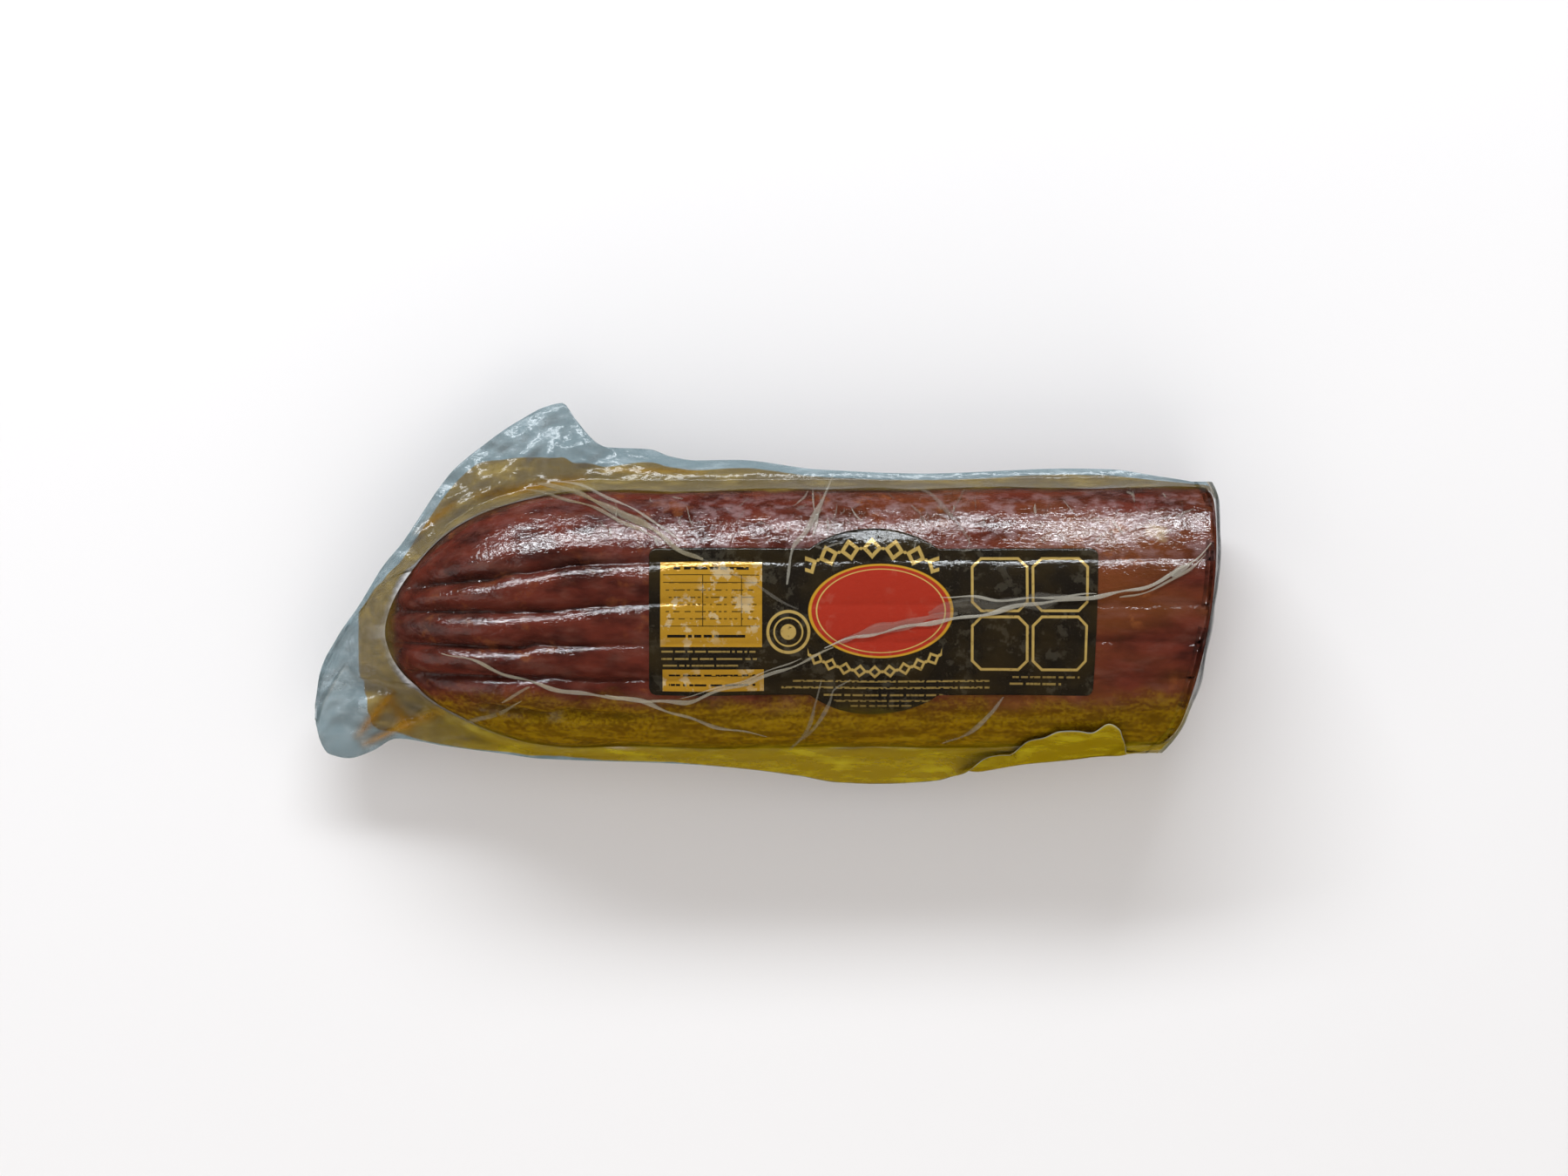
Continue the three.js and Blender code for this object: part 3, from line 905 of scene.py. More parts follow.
    def wrapped(self, section, x: Array, angle: Array, outset: Array, inset: Array) -> Array:
        """Points on sections, moved along the surface's normals.

        Args:
            section: Gives the sections at some stations.
            x: Stations, one per row.
            angle: Angles, one per column or one per point.
            outset: Distance to move each point outwards.
            inset: How far inside the outline each row runs.

        Returns:
            Points in rows and columns.
        """
        step = 0.6
        y, z = section(x).at(angle, inset)
        y_turn, z_turn = section(x).at(angle + 0.01, inset)
        y_back, z_back = section(x).at(angle - 0.01, inset)
        y_next, z_next = section(x + step).at(angle, inset)
        y_last, z_last = section(x - step).at(angle, inset)
        around = np.stack(np.broadcast_arrays(0 * y, y_turn - y_back, z_turn - z_back), -1)
        onward = np.stack(np.broadcast_arrays(2 * step + 0 * y, y_next - y_last, z_next - z_last), -1)
        normal = np.cross(around, onward)
        normal /= np.maximum(np.linalg.norm(normal, axis=-1, keepdims=True), 1e-9)
        points = np.stack(np.broadcast_arrays(x, y, z), -1)
        points = points + normal * np.broadcast_to(outset, y.shape)[..., None]
        points[..., 0] = self.lean(points[..., 0], points[..., 1])
        return points

    def build(self) -> bpy.types.Object:
        """Make the meat's mesh.

        Returns:
            One closed piece.
        """
        tip = self.tip_x + 9 * (np.arange(1, 13) / 12) ** 2
        count = int((self.face_x - tip[-1]) / self.smallest_step)
        body = np.concatenate([tip, np.linspace(tip[-1], self.face_x, count)[1:-1]])
        turn = np.linspace(0, QUARTER, 6)
        inner = np.linspace(self.rim, self.crown - 1.5, self.face_rings)[1:]
        x = np.concatenate([body, np.full(len(turn) + len(inner), self.face_x)])[:, None]
        inset = np.concatenate([0 * body, self.rim * (1 - np.cos(turn)), inner])[:, None]
        back = np.concatenate([0 * body, self.rim * (1 - np.sin(turn)), 0 * inner])[:, None]
        over = np.linspace(0, math.pi, self.angles_over, endpoint=False)
        under = np.linspace(math.pi, TAU, self.angles_under, endpoint=False)
        angle = np.concatenate([over, under])[None, :]
        outside = 1 - smooth(inset, 0, self.rim)
        points = self.wrapped(self.section, x, angle, self.relief(x, angle) * outside, inset)
        points[..., 0] -= back
        cut = smooth(inset, self.rim * 0.7, self.rim)
        points[..., 0] -= self.cut_dish * cut * (1 + self.lumps(points[..., 1], points[..., 2]))
        points[..., 2] = np.maximum(points[..., 2], self.floor_z + 0 * inset)
        rows, columns = points.shape[:2]
        end = self.section(np.array([self.face_x]))
        poles = np.array([
            [self.tip_x, self.section(np.array([self.tip_x])).middle[0], self.middle_z],
            [points[-1, :, 0].mean(), end.middle[0], self.middle_z],
        ])
        flat = np.concatenate([points.reshape(-1, 3), poles])
        k = np.arange(columns)
        following = (k + 1) % columns
        last = (rows - 1) * columns
        faces = grid_faces(rows, columns, closed=True).tolist()
        faces += np.stack([np.full(columns, rows * columns), following, k], -1).tolist()
        faces += np.stack([np.full(columns, rows * columns + 1), last + k, last + following], -1).tolist()
        # painted shade for the fold valleys, weaker towards the cut end
        along = smooth(x, self.tip_x, self.tip_x + 20) * (1 - smooth(x, -60, 40) * 0.7)
        groove_shade = self.valley(x, angle) * outside * along
        values = {
            "groove_shade": np.append(groove_shade.ravel(), [0, 0]),
            "cut": np.append(np.broadcast_to(cut, (rows, columns)).ravel(), [0, 1]),
        }
        return make_piece("cured_meat", flat, faces, values)


# ---------------------------------------------------------------------------------- the label


@dataclass(frozen=True)
class Label:
    """The printed strip between meat and film: rounded corners and a round swell in its middle."""

    left: float = -40.7
    right: float = 114.8
    half: float = 25.65
    corner: float = 2.5
    middle: float = 37.1
    swell: float = 36.0
    swell_half: float = 32.6
    plan_middle_y: float = -10.2
    share: float = 0.92
    outset: float = 0.16
    thickness: float = 0.12
    rows: int = 200
    columns: int = 84

    def outline(self, x: Array) -> Array:
        """Half height of the label at each x."""
        from_end = np.minimum(x - self.left, self.right - x)
        corner = np.clip(self.corner - from_end, 0, self.corner)
        strip = self.half - self.corner + np.sqrt(np.maximum(self.corner**2 - corner**2, 0))
        round_part = self.swell_half * np.sqrt(np.maximum(1 - ((x - self.middle) / self.swell) ** 2, 0))
        return np.maximum(strip, round_part)

    def build(self, meat: Meat) -> bpy.types.Object:
        """Drape the label over the meat.

        Args:
            meat: What it lies on.

        Returns:
            One closed sheet with its plan as a UV map.
        """
        finish = LabelFinish()
        corner = self.corner * (1 - np.cos(np.linspace(0, QUARTER, 7)))
        x = np.concatenate([
            self.left + corner,
            np.linspace(self.left + self.corner, self.right - self.corner, self.rows)[1:-1],
            (self.right - corner)[::-1],
        ])[:, None]
        across = np.linspace(1, -1, self.columns)[None, :] * self.outline(x)
        section = meat.section(x)
        share = (across + self.plan_middle_y - section.middle) / section.half
        angle = np.arccos(np.sign(share) * np.abs(share) ** (section.upper_power / 2))
        points = meat.skin(x, angle, self.share, self.outset)
        piece = make_sheet("label_sheet", points, self.thickness, 1, {})
        plan_x = (x - self.middle) / finish.plan[0] + 0.5
        plan_y = across / finish.plan[1] + 0.5
        flat = np.tile(np.stack(np.broadcast_arrays(plan_x, plan_y), -1).reshape(-1, 2), (2, 1))
        corners = np.empty(len(piece.data.loops), np.int64)
        piece.data.loops.foreach_get("vertex_index", corners)
        layer = piece.data.uv_layers.new(name="plan")
        layer.data.foreach_set("uv", flat[corners].astype(np.float32).ravel())
        return piece


# ---------------------------------------------------------------------------------- the pouch


@dataclass(frozen=True)
class Pleat:
    """A fold pinched up in the film: its route over the pack, its width and how white it is."""

    route: tuple[tuple[float, float], ...]
    width: float
    opacity: float = 0.5
    stain: float = 0.0


@dataclass(frozen=True)
class Pouch:
    """Two welded films shrunk on to the meat by the vacuum, with their loose edges."""

    meat: Meat
    far_edge: Line = Line((
        (-158.6, -39), (-156.9, -27.5), (-151.1, -16.2), (-142, -3.1), (-134.4, 9.2), (-127.6, 17.4),
        (-116.1, 34.8), (-110, 42.7), (-97.8, 52.8), (-85.6, 61), (-77.9, 65), (-71.8, 66.4), (-67.3, 60.7),
        (-59.6, 52.2), (-56, 50.6), (-41.3, 49.7), (-33.7, 47), (-24.6, 45.6), (-10.8, 45.8), (18.1, 42.4),
        (54.7, 41), (106.6, 42.7), (124.9, 42.4), (140.1, 40.6), (151, 38.8), (158, 36),
    ))
    near_edge: Line = Line((
        (-158.6, -46), (-156.6, -53.4), (-154.2, -56.7), (-147.2, -58.3), (-138.9, -55.8), (-129.8, -51.2),
        (-113, -53.7), (-91.7, -56.4), (-79.5, -58), (-30.7, -59.4), (-12.4, -60.6), (12, -63.7),
        (24.2, -65.9), (39.5, -66.5), (54.7, -65.9), (73, -63.1), (91.3, -60), (128, -57.4), (158, -56.2),
    ))
    far_hang: Line = Line(((-158.6, -12), (-75, -16), (-30, -48), (120, -48), (150, -5), (158, 0)))
    near_hang: Line = Line((
        (-158.6, -8), (-100, -20), (-50, -45), (20, -58), (62, -55), (78, 0), (140, 0), (158, 0),
    ))
    # Where the near edge is folded up over the meat, and the plan of its scalloped rim there
    fold_rim: Line = Line((
        (67, -62.5), (73, -60), (79, -57), (85, -54.5), (91, -50.5), (96, -49.6), (102, -47), (110, -46.2),
        (117, -46.8), (124, -44.8), (130, -45.6), (134, -48.6), (139, -52.4), (145, -54.2), (152, -55.5),
    ))
    weld_width: Line = Line((
        (-142, 30), (-138, 10), (-131, 6), (-116, 6), (-104, 5), (-90, 12), (-72, 20), (-60, 9), (-49, 7),
        (0, 4), (60, 2.6), (158, 2.6),
    ))
    left_x: float = -158.6
    fine_until: float = -146.6
    tent_x: float = -147.0
    tent_half: float = 27.0
    tent_least: float = 6.0
    tent_blunt: float = 0.75
    tent_up: float = 29.2
    tent_down: float = 28.8
    flap_share: float = 0.35
    flap_side: float = 1.3
    droop_from: float = -125.0
    droop_length: float = 33.6
    droop_depth: float = 11.0
    gusset: float = 3.2
    gusset_share: float = 0.6
    least_cosine: float = 0.45
    fold_inset: float = 18.0
    scallop: float = 1.5
    leave_degrees: float = 9.0
    oil_degrees: float = 21.0
    outset: float = 0.5
    share: float = 0.85
    thickness: float = 0.1
    seam_gap: float = 0.09
    rest_gap: float = 0.02
    front_gap: float = 0.3
    curl: float = 4.0
    end_flap: float = 10.0
    end_rows: int = 12
    seal_rows: int = 10
    seal_wave: float = 0.5
    seal_haze: float = 0.4
    side_haze: float = 0.32
    near_side_haze: float = 0.144
    crease_haze: float = 0.85
    step: float = 1.2
    glint_crackle_count: int = 80
    edge_columns: int = 20
    bridge_columns: int = 5
    bridge_corner: float = 0.75
    arc_columns: int = 102
    crumple: Ripples = Ripples(5, 34, 12)
    crumple_height: float = 1.8
    facets: Ripples = Ripples(12, 17, 7)
    facet_height: float = 1.1
    tight: Ripples = Ripples(31, 14, 5, 3.0)
    wrinkle_height: float = 0.22
    creases: tuple[Crease, ...] = (
        Crease((-113, 24), (-76, 38), -1.6, 3.0),
        Crease((-80, 38), (-46, 41), -1.2, 2.5),
        Crease((-108, 30), (-90, 39), 1.6, 2.0),
        Crease((-118, 30), (-96, 40), 1.1, 2.2),
        Crease((-104, 44), (-72, 64), 0.8, 2.0),
        Crease((-95, 40), (-73, 58), 1.3, 2.6),
        Crease((-78, 42), (-70, 62), 1.5, 2.2),
        Crease((-69, 42), (-58, 50), 1.2, 2.0),
        Crease((-150, -20), (-136, -14), 1.2, 2.5),
        Crease((-138, -27), (-130, -20), 1.7, 1.8),
        Crease((-141, -24), (-134, -25), -1.4, 1.6),
        Crease((-130, -35), (-145, -52), 1.6, 2.6),
        Crease((-142, -54), (-119, -44), 1.5, 2.4),
        Crease((-134, -44), (-126, -36), -1.2, 2.4),
        Crease((-156, -45), (-140, -38), 1.0, 3.0),
        Crease((-157, -34), (-146, -24), -0.9, 3.0),
        Crease((-147, -12), (-132, -4), 1.3, 2.4),
        Crease((-133, 2), (-121, 14), 1.4, 2.6),
        Crease((-126, 14), (-112, 26), -1.0, 2.2),
    )
    stains: tuple[Crease, ...] = (
        Crease((-130, -34), (-145, -52), 1.1, 3.2),
        Crease((-143, -54), (-126, -46), 1.1, 2.8),
        Crease((-130, -47), (-112, -41), 0.9, 3.6),
        Crease((-133, -36), (-124, -50), 0.7, 4.0),
        Crease((-104, 33), (-62, 40), 0.8, 3.4),
        Crease((-124, 20), (-108, 32), 0.7, 2.6),
        Crease((-60, 43), (-20, 42), 0.5, 2.0),
    )
    pleats: tuple[Pleat, ...] = (
        Pleat(((-80, 38), (-76, 37), (-66, 35), (-57, 30), (-47, 26), (-37, 20), (-29, 14), (-22, 11)),
              2.3, 0.5, 0.75),
        Pleat(((-84, 36), (-74, 33.5), (-66, 31.5), (-56, 27.5), (-45, 22), (-35, 17)), 1.2, 0.4, 0.75),
        Pleat(((-79, 40), (-68, 38), (-56, 33.5), (-46, 28.5), (-38, 24), (-30, 17.5)), 1.0, 0.45, 0.1),
        Pleat(((-22, 11), (-8, 5), (0, 0), (11, -6)), 1.0, 0.2),
        Pleat(((-113, -21), (-104, -23), (-89, -29), (-82, -31), (-66, -35), (-55, -36), (-43, -38),
               (-32, -42), (-16, -47), (0, -50)), 1.3, 0.5, 0.6),
        Pleat(((-56, -36), (-39, -38), (-29, -38), (-16, -34), (0, -29), (15, -23), (23, -19)),
              1.3, 0.45, 0.6),
        Pleat(((-30, -36.6), (-16, -33), (0, -27.6), (12, -22.6)), 0.7, 0.35, 0.5),
        Pleat(((-106, -46), (-96, -43), (-85, -38)), 1.5, 0.3, 0.7),
        Pleat(((-92, -38), (-82, -33)), 1.2, 0.3, 0.6),
        Pleat(((20, -19), (29, -16), (41, -13.6), (53, -11), (67, -9), (79, -6.8), (91, -4), (110, -2),
               (116, -1), (128, 1), (136, 4), (143, 8), (149, 12), (154, 17)), 1.4, 0.72, 0.25),
        Pleat(((24, -17.6), (32, -14.4), (44, -11.8), (58, -8.6), (66, -7)), 3.2, 0.23),
        Pleat(((56, -7), (63, -5.2), (72, -5), (82, -4.6), (92, -3), (104, -1.8)), 5.4, 0.19),
        Pleat(((60, -1.4), (70, -1.6), (80, -2.6), (92, -2.2), (104, -1.2), (114, -0.6)), 0.9, 0.55),
        Pleat(((122, -2), (132, 0.5), (139, 3.5), (146, 8), (152, 13)), 0.9, 0.45, 0.5),
        Pleat(((140, 5.5), (143, 8), (147, 10.5)), 3.0, 0.5, 0.2),
        Pleat(((23, 41), (21, 36), (19, 31), (14, 22), (9, 15), (7, 3)), 1.7, 0.35),
        Pleat(((18, 28), (16, 19)), 1.3, 0.35),
        Pleat(((50, 38), (57, 34), (62, 29), (67, 23), (71, 16)), 1.3, 0.22),
        Pleat(((69, 36), (66, 31), (64, 26)), 1.0, 0.18),
        Pleat(((29, -30), (23, -34), (22, -38), (18, -45), (8, -55)), 1.1, 0.25, 0.4),
        Pleat(((19, -30), (17, -38), (15, -46), (8, -55)), 1.1, 0.25, 0.4),
        Pleat(((82, -36), (78, -42), (68, -50), (61, -53)), 1.3, 0.3, 0.4),
    )

    def section(self, x: Array) -> Section:
        """Sections of the film: round the meat, and a low tent ahead of its tip."""
        meat = self.meat.section(x)
        length = self.meat.taper_length - self.tent_x + self.meat.tip_x
        tent = self.meat.taper(x, self.tent_x, length, self.tent_blunt)
        width = self.far_edge(x) - self.near_edge(x)
        loose = larger(meat.half, self.tent_least + self.tent_half * tent)
        half = np.where(tent == 0, np.minimum(self.tent_least, self.flap_share * width), loose)
        past_tip = np.maximum(x - self.meat.tip_x, 0)
        middle = np.minimum(meat.middle, self.far_edge(x) - self.flap_side * half + past_tip)
        start = self.outset * (1 - smooth(tent, 0, 0.1))
        up = np.where(tent == 0, 0, larger(meat.up, self.tent_up * tent) - start)
        down = np.where(tent == 0, 0, larger(meat.down, self.tent_down * tent) - start)
        droop = self.droop_depth * np.maximum((self.droop_from - x) / self.droop_length, 0) ** 1.6
        return Section(middle, half, np.maximum(up, 0), np.maximum(down, 0), self.meat.middle_z - droop)

    def folded(self, x: Array) -> Array:
        """1 where the near edge is folded up over the meat."""
        return smooth(x, 60, 76) * (1 - smooth(x, 141, 152))

    def edge_route(self, x: Array, sign: int, section: Section) -> tuple[Array, Array, Array]:
        """The line down the middle of a loose edge, from the seam out.

        Args:
            x: Stations, one per row.
            sign: 1 for the far edge, -1 for the near one.
            section: The film's sections at those stations.

        Returns:
            Y, Z and the distance from the outer edge, in rows and columns.
        """
        far = sign > 0
        reach = sign * ((self.far_edge if far else self.near_edge)(x) - section.middle) - section.half
        gusset = np.minimum(self.gusset, np.maximum(reach, 1) * self.gusset_share)
        hang = np.radians((self.far_hang if far else self.near_hang)(x))
        flat = np.maximum(reach - gusset, 0.5)
        length = flat / np.maximum(np.cos(hang), self.least_cosine)
        share = np.linspace(0, 1, self.edge_columns + 1)[None, :]
        steps = length / self.edge_columns
        distance = (share[:, :-1] + 0.5 / self.edge_columns) * length
        turn = hang * smooth(distance, -self.curl / 2, self.curl)
        out = np.concatenate([0 * x, np.cumsum(steps * np.cos(turn), 1)], 1)
        up = np.concatenate([0 * x, np.cumsum(steps * np.sin(turn), 1)], 1)
        y = section.middle + sign * (section.half + gusset + out)
        z = section.seam_z + up
        if not far:
            hug_y, hug_z = self._hug(x, share, section, reach)
            part = self.folded(x)
            y = y + part * (hug_y - y)
            z = z + part * (hug_z - z)
            length = length + part * self.fold_inset
        return y, z, (1 - share) * length

    def _hug(self, x: Array, share: Array, section: Section, reach: Array) -> tuple[Array, Array]:
        """The near edge's route where it is folded: out to the fold and back up the meat's side.

        Args:
            x: Stations, one per row.
            share: How far along the edge each column is, from the seam at 0 to the rim at 1.
            section: The film's sections at those stations.
            reach: How far beyond the section the fold lies.

        Returns:
            Y and Z, in rows and columns.
        """
        rim = (section.middle - self.fold_rim(x)) / section.half
        end = math.pi - np.arccos(np.clip(rim, 0.4, 0.995) ** (section.upper_power / 2))
        angle = math.pi + (end - math.pi) * smooth(share, 0.1, 1)
        y, z = section.at(angle, 0 * x)
        rise, back = smooth(share, 0, 0.2), smooth(share, 0.22, 0.6)
        rim_gap = np.maximum(section.middle - section.half - self.fold_rim(x), 1.2)
        away = self.gusset * (1 - rise) + reach * rise * (1 - back) + rim_gap * back
        away = away + self.scallop * np.sin(x / 6.3 + 0.9 * np.sin(x / 11)) ** 2 * share**2
        return y + away * np.cos(angle), z + away * np.sin(angle)

    def crumples(self, x: Array, y: Array, sag: Array) -> Array:
        """How far the loose film is pushed up out of its smooth shape.

        Args:
            x: X of each point.
            y: Y of each point.
            sag: How loose the film is there, from 0 to 1.

        Returns:
            Heights in millimetres.
        """
        rough = self.crumple_height * self.crumple(x, y)
        rough = rough + self.facet_height * (self.facets.ridges(x, y, 2.0) - 0.5)
        for crease in self.creases:
            rough = rough + crease(x, y)
        return rough * sag

    def film(self, side: Side) -> bpy.types.Object:
        """Make one of the two films.

        Args:
            side: Which one.

        Returns:
            One closed sheet. Its points say how loose, welded and oily the film is there.
        """
        meat, sign = self.meat, side.value
        far_left = self.left_x + (self.fine_until - self.left_x) * (np.arange(0, 12) / 12) ** 1.6
        count = int((meat.face_x - self.fine_until) / self.step)
        body = np.concatenate([far_left, np.linspace(self.fine_until, meat.face_x, count)])
        turn = np.linspace(0, QUARTER, 6)[1:]
        radius = meat.rim + self.outset
        x = np.concatenate([body, np.full(len(turn), meat.face_x)])[:, None]
        inset = np.concatenate([0 * body, radius * (1 - np.cos(turn))])[:, None]
        forward = np.concatenate([0 * body, radius * np.sin(turn)])[:, None]
        points, values = self._rows(x, inset, side)
        points[..., 0] += forward - meat.rim * smooth(x, meat.face_x - 3, meat.face_x)
        points, values = self._end(points, values, side)
        floor = self.thickness / 2 + (self.rest_gap if side is Side.BACK else self.front_gap)
        points[..., 2] = np.maximum(points[..., 2], floor)
        return make_sheet(f"{side.name.lower()}_film_skin", points, self.thickness, sign, values)

    def _rows(self, x: Array, inset: Array, side: Side) -> tuple[Array, dict[str, Array]]:
        """The film's rows from the left flap to the rim of the cut face.

        Args:
            x: Stations, one per row.
            inset: How far inside the outline each row runs.
            side: Which film.

        Returns:
            Points in rows and columns, and what the film is like at each.
        """
        sign = side.value
        section = self.section(x)
        leave = math.radians(self.leave_degrees)
        angle = sign * np.linspace(leave, math.pi - leave, self.arc_columns)[None, :]
        ahead = smooth(x, self.meat.tip_x - 4, self.meat.tip_x + 14)
        held = self.meat.relief(x, angle) * self.share * ahead * (1 - smooth(inset, 0, self.meat.rim))
        wrinkle = self.wrinkle_height * self.tight.ridges(x, self.meat.half_width * angle, 4.0)
        arc = self.meat.wrapped(self.section, x, angle, held + self.outset + wrinkle, inset)
        far = self._edge(x, 1, sign, section, arc[:, 0])
        near = self._edge(x, -1, sign, section, arc[:, -1])
        points = np.concatenate([far["points"][:, ::-1], arc, near["points"]], 1)
        flap = 1 - smooth(x, self.tent_x + 4, self.meat.tip_x + 9)
        off_meat = np.abs(arc[..., 1] - self.meat.section(x).middle) - self.meat.section(x).half
        from_side = np.degrees(np.minimum(np.abs(angle), math.pi - np.abs(angle)))
        from_side = from_side + 3 * self.tight(x, 40 * angle)
        arc_loose = np.maximum(flap, smooth(off_meat, 1.0, 3.0))
        side_haze = np.where(np.cos(angle) > 0, self.side_haze, self.near_side_haze)
        beside_seam = 1 - smooth(from_side, self.leave_degrees, self.oil_degrees)
        arc_loose = np.maximum(arc_loose, side_haze * beside_seam)
        in_crease = 1 - smooth(from_side, self.leave_degrees, self.leave_degrees + 5)
        arc_loose = np.maximum(arc_loose, self.crease_haze * in_crease)
        loose = np.concatenate([far["loose"][:, ::-1], arc_loose, near["loose"]], 1)
        edge = np.concatenate([far["edge"][:, ::-1], 40 + 0 * arc_loose, near["edge"]], 1)
        edge = np.where(x < -142, np.minimum(edge, 12 + 0 * edge), edge)
        return self._crumpled(x, points, loose, edge)

    def _edge(self, x: Array, end: int, sign: int, section: Section, arc: Array) -> dict[str, Array]:
        """The bridge from the meat's side to the seam and the loose edge beyond it, from the inside out.

        Args:
            x: Stations, one per row.
            end: 1 for the far edge, -1 for the near one.
            sign: 1 for the front film, -1 for the back one.
            section: The film's sections at those stations.
            arc: The last point of each row over the meat.

        Returns:
            The points, how loose the film is there, and its distance from the outer edge.
        """
        y, z, from_rim = self.edge_route(x, end, section)
        facing_y = np.gradient(y, axis=1) * end
        facing_z = np.gradient(z, axis=1)
        size = np.maximum(np.hypot(facing_y, facing_z), 1e-6)
        y = y - sign * end * self.seam_gap * facing_z / size
        z = z + sign * self.seam_gap * facing_y / size
        t = np.linspace(0, 1, self.bridge_columns + 2)[None, 1:-1]
        start_y, start_z = arc[:, 1:2], arc[:, 2:3]
        corner_y = start_y + self.bridge_corner * (y[:, :1] - start_y)
        bridge_y = (1 - t) ** 2 * start_y + 2 * t * (1 - t) * corner_y + t * t * y[:, :1]
        bridge_z = (1 - t) ** 2 * start_z + 2 * t * (1 - t) * z[:, :1] + t * t * z[:, :1]
        every_y = np.concatenate([bridge_y, y], 1)
        every_z = np.concatenate([bridge_z, z], 1)
        every_x = self.meat.lean(x + 0 * every_y, every_y)
        bridge_loose = self.crease_haze + (1 - self.crease_haze) * smooth(t, 0.0, 0.7) + 0 * x
        loose = np.concatenate([bridge_loose, 1 + 0 * y], 1)
        edge = np.concatenate([from_rim[:, :1] + 5 * (1 - t), from_rim], 1)
        return {"points": np.stack([every_x, every_y, every_z], -1), "loose": loose, "edge": edge}

    def _crumpled(self, x: Array, points: Array, loose: Array, edge: Array) -> tuple[Array, dict[str, Array]]:
        """Crumple the loose film and say what each point of it is like.

        Args:
            x: Stations, one per row.
            points: The film's points, which are moved.
            loose: How loose the film is at each.
            edge: Distance of each from the outer edge.

        Returns:
            The points, and one number per point for each of the film's attributes.
        """
        px, py = points[..., 0], points[..., 1]
        left = 1 - smooth(px, -70, -30)
        sag = smooth(loose, 0.5, 1) * smooth(60 - edge, 8, 40) * (0.16 + 0.84 * left)
        room = smooth(np.abs(py + 11) - self.section(x).half, 0, 7)
        sag = np.maximum(sag * np.maximum(room, smooth(px, -118, -134)), 0)
        points[..., 2] += self.crumples(px, py, sag)
        weld = 0.5 + (self.weld_width(px) * np.where(py > -12, 1, smooth(px, -120, -145) + 0.06) - edge) / 3
        stain = sum(np.clip(crease(px, py), 0, 1) for crease in self.stains)
        # painted highlight: the folded near edge's rim is made whiter and more opaque through its pleat value
        rim = self.folded(px) * smooth(-py, 40, 46) * (1 - smooth(edge, 0.8, 3.0))
        # the near side's band of yellow-olive film: partly oil, partly painted yellow light
        near = smooth(py, -30, -46)
        oily_yellow_lit_side = smooth(py, -31, -47) * smooth(px, -128, -95) * 0.85
        wet_flap = smooth(loose, 0, 0.3) * (1 - 0.35 * smooth(px, -60, 20) * (py > 0))
        oil = np.maximum(oily_yellow_lit_side, wet_flap * 0.95)
        values = {
            "loose": np.clip(loose, 0, 1),
            "weld": np.clip(weld, 0, 1),
            "oil": np.clip(oil, 0, 1),
            "near": near * smooth(px, -132, -84),
            "pleat": 0.3 * rim,
            "stain": np.clip(stain, 0, 1) * smooth(loose, 0.3, 0.8),
        }
        return points, values

    def _end(self, points: Array, values: dict[str, Array], side: Side) -> tuple[Array, dict[str, Array]]:
        """Draw the film over the cut face to the end seam and hang the seal down over it.

        Args:
            points: The film's points up to the rim of the cut face.
            values: What the film is like at each.
            side: Which film.

        Returns:
            The points and values with the rows of the end added.
        """
        sign, middle_z = side.value, self.meat.middle_z
        last = points[-1]
        rows = []
        for k in range(1, self.end_rows + 1):
            share = k / self.end_rows
            row = last.copy()
            wave = 0.35 * self.tight(row[:, 1] * 2, row[:, 2] * 2)
            height = sign * (last[:, 2] - middle_z) * (1 - share)
            row[:, 2] = middle_z + sign * np.maximum(height, self.seam_gap)
            row[:, 0] += 0.15 * share + wave * math.sin(math.pi * share)
            rows.append(row)
        base = rows[-1]
        proud, lower = (0.9, 0.0) if side is Side.FRONT else (0.5, 0.3)
        for k in range(1, self.seal_rows + 1):
            share = k / self.seal_rows
            row = base.copy()
            across = row[:, 1]
            row[:, 0] += proud + 0.8 * smooth(np.array(float(k)), 0, 4)
            row[:, 0] += self.seal_wave * self.tight(across, 0 * across + 3 * k)
            row[:, 0] += self.seal_wave * share * (1 + np.sin(across / 6.5))
            row[:, 2] = middle_z - self.end_flap * share - lower
            rows.append(row)
        added = np.stack(rows)
        kept = {
            key: np.concatenate([numbers, np.repeat(numbers[-1:], len(rows), 0)])
            for key, numbers in values.items()
        }
        flap = np.concatenate([np.zeros(self.end_rows), np.full(self.seal_rows, self.seal_haze)])[:, None]
        kept["loose"][-len(rows):] = np.maximum(kept["loose"][-len(rows):] * 0.5, flap)
        kept["weld"][-len(rows):] = flap > 0
        return np.concatenate([points, added]), kept

    def glint_crackles(self) -> list[Pleat]:
        """Short fine folds, mostly across the pack, where the film is tightest over the far roll. Their white
        is painted highlight, standing in for the film's glints there.

        Returns:
            The folds, the same ones each time.
        """
        rng = np.random.default_rng(17)
        made = []
        for _ in range(self.glint_crackle_count):
            x, y = rng.uniform(-66, 148), rng.uniform(15, 34)
            length, lean = rng.uniform(2, 8), rng.normal(0.0, 0.7)
            bend = rng.uniform(-0.8, 0.8)
            half = (length * math.sin(lean) / 2, length * math.cos(lean) / 2)
            route = ((x - half[0], y + half[1]), (x + bend, y), (x + half[0], y - half[1]))
            # painted highlight: how white each fold is
            made.append(Pleat(route, rng.uniform(0.4, 0.9), rng.uniform(0.10, 0.34)))
        return made

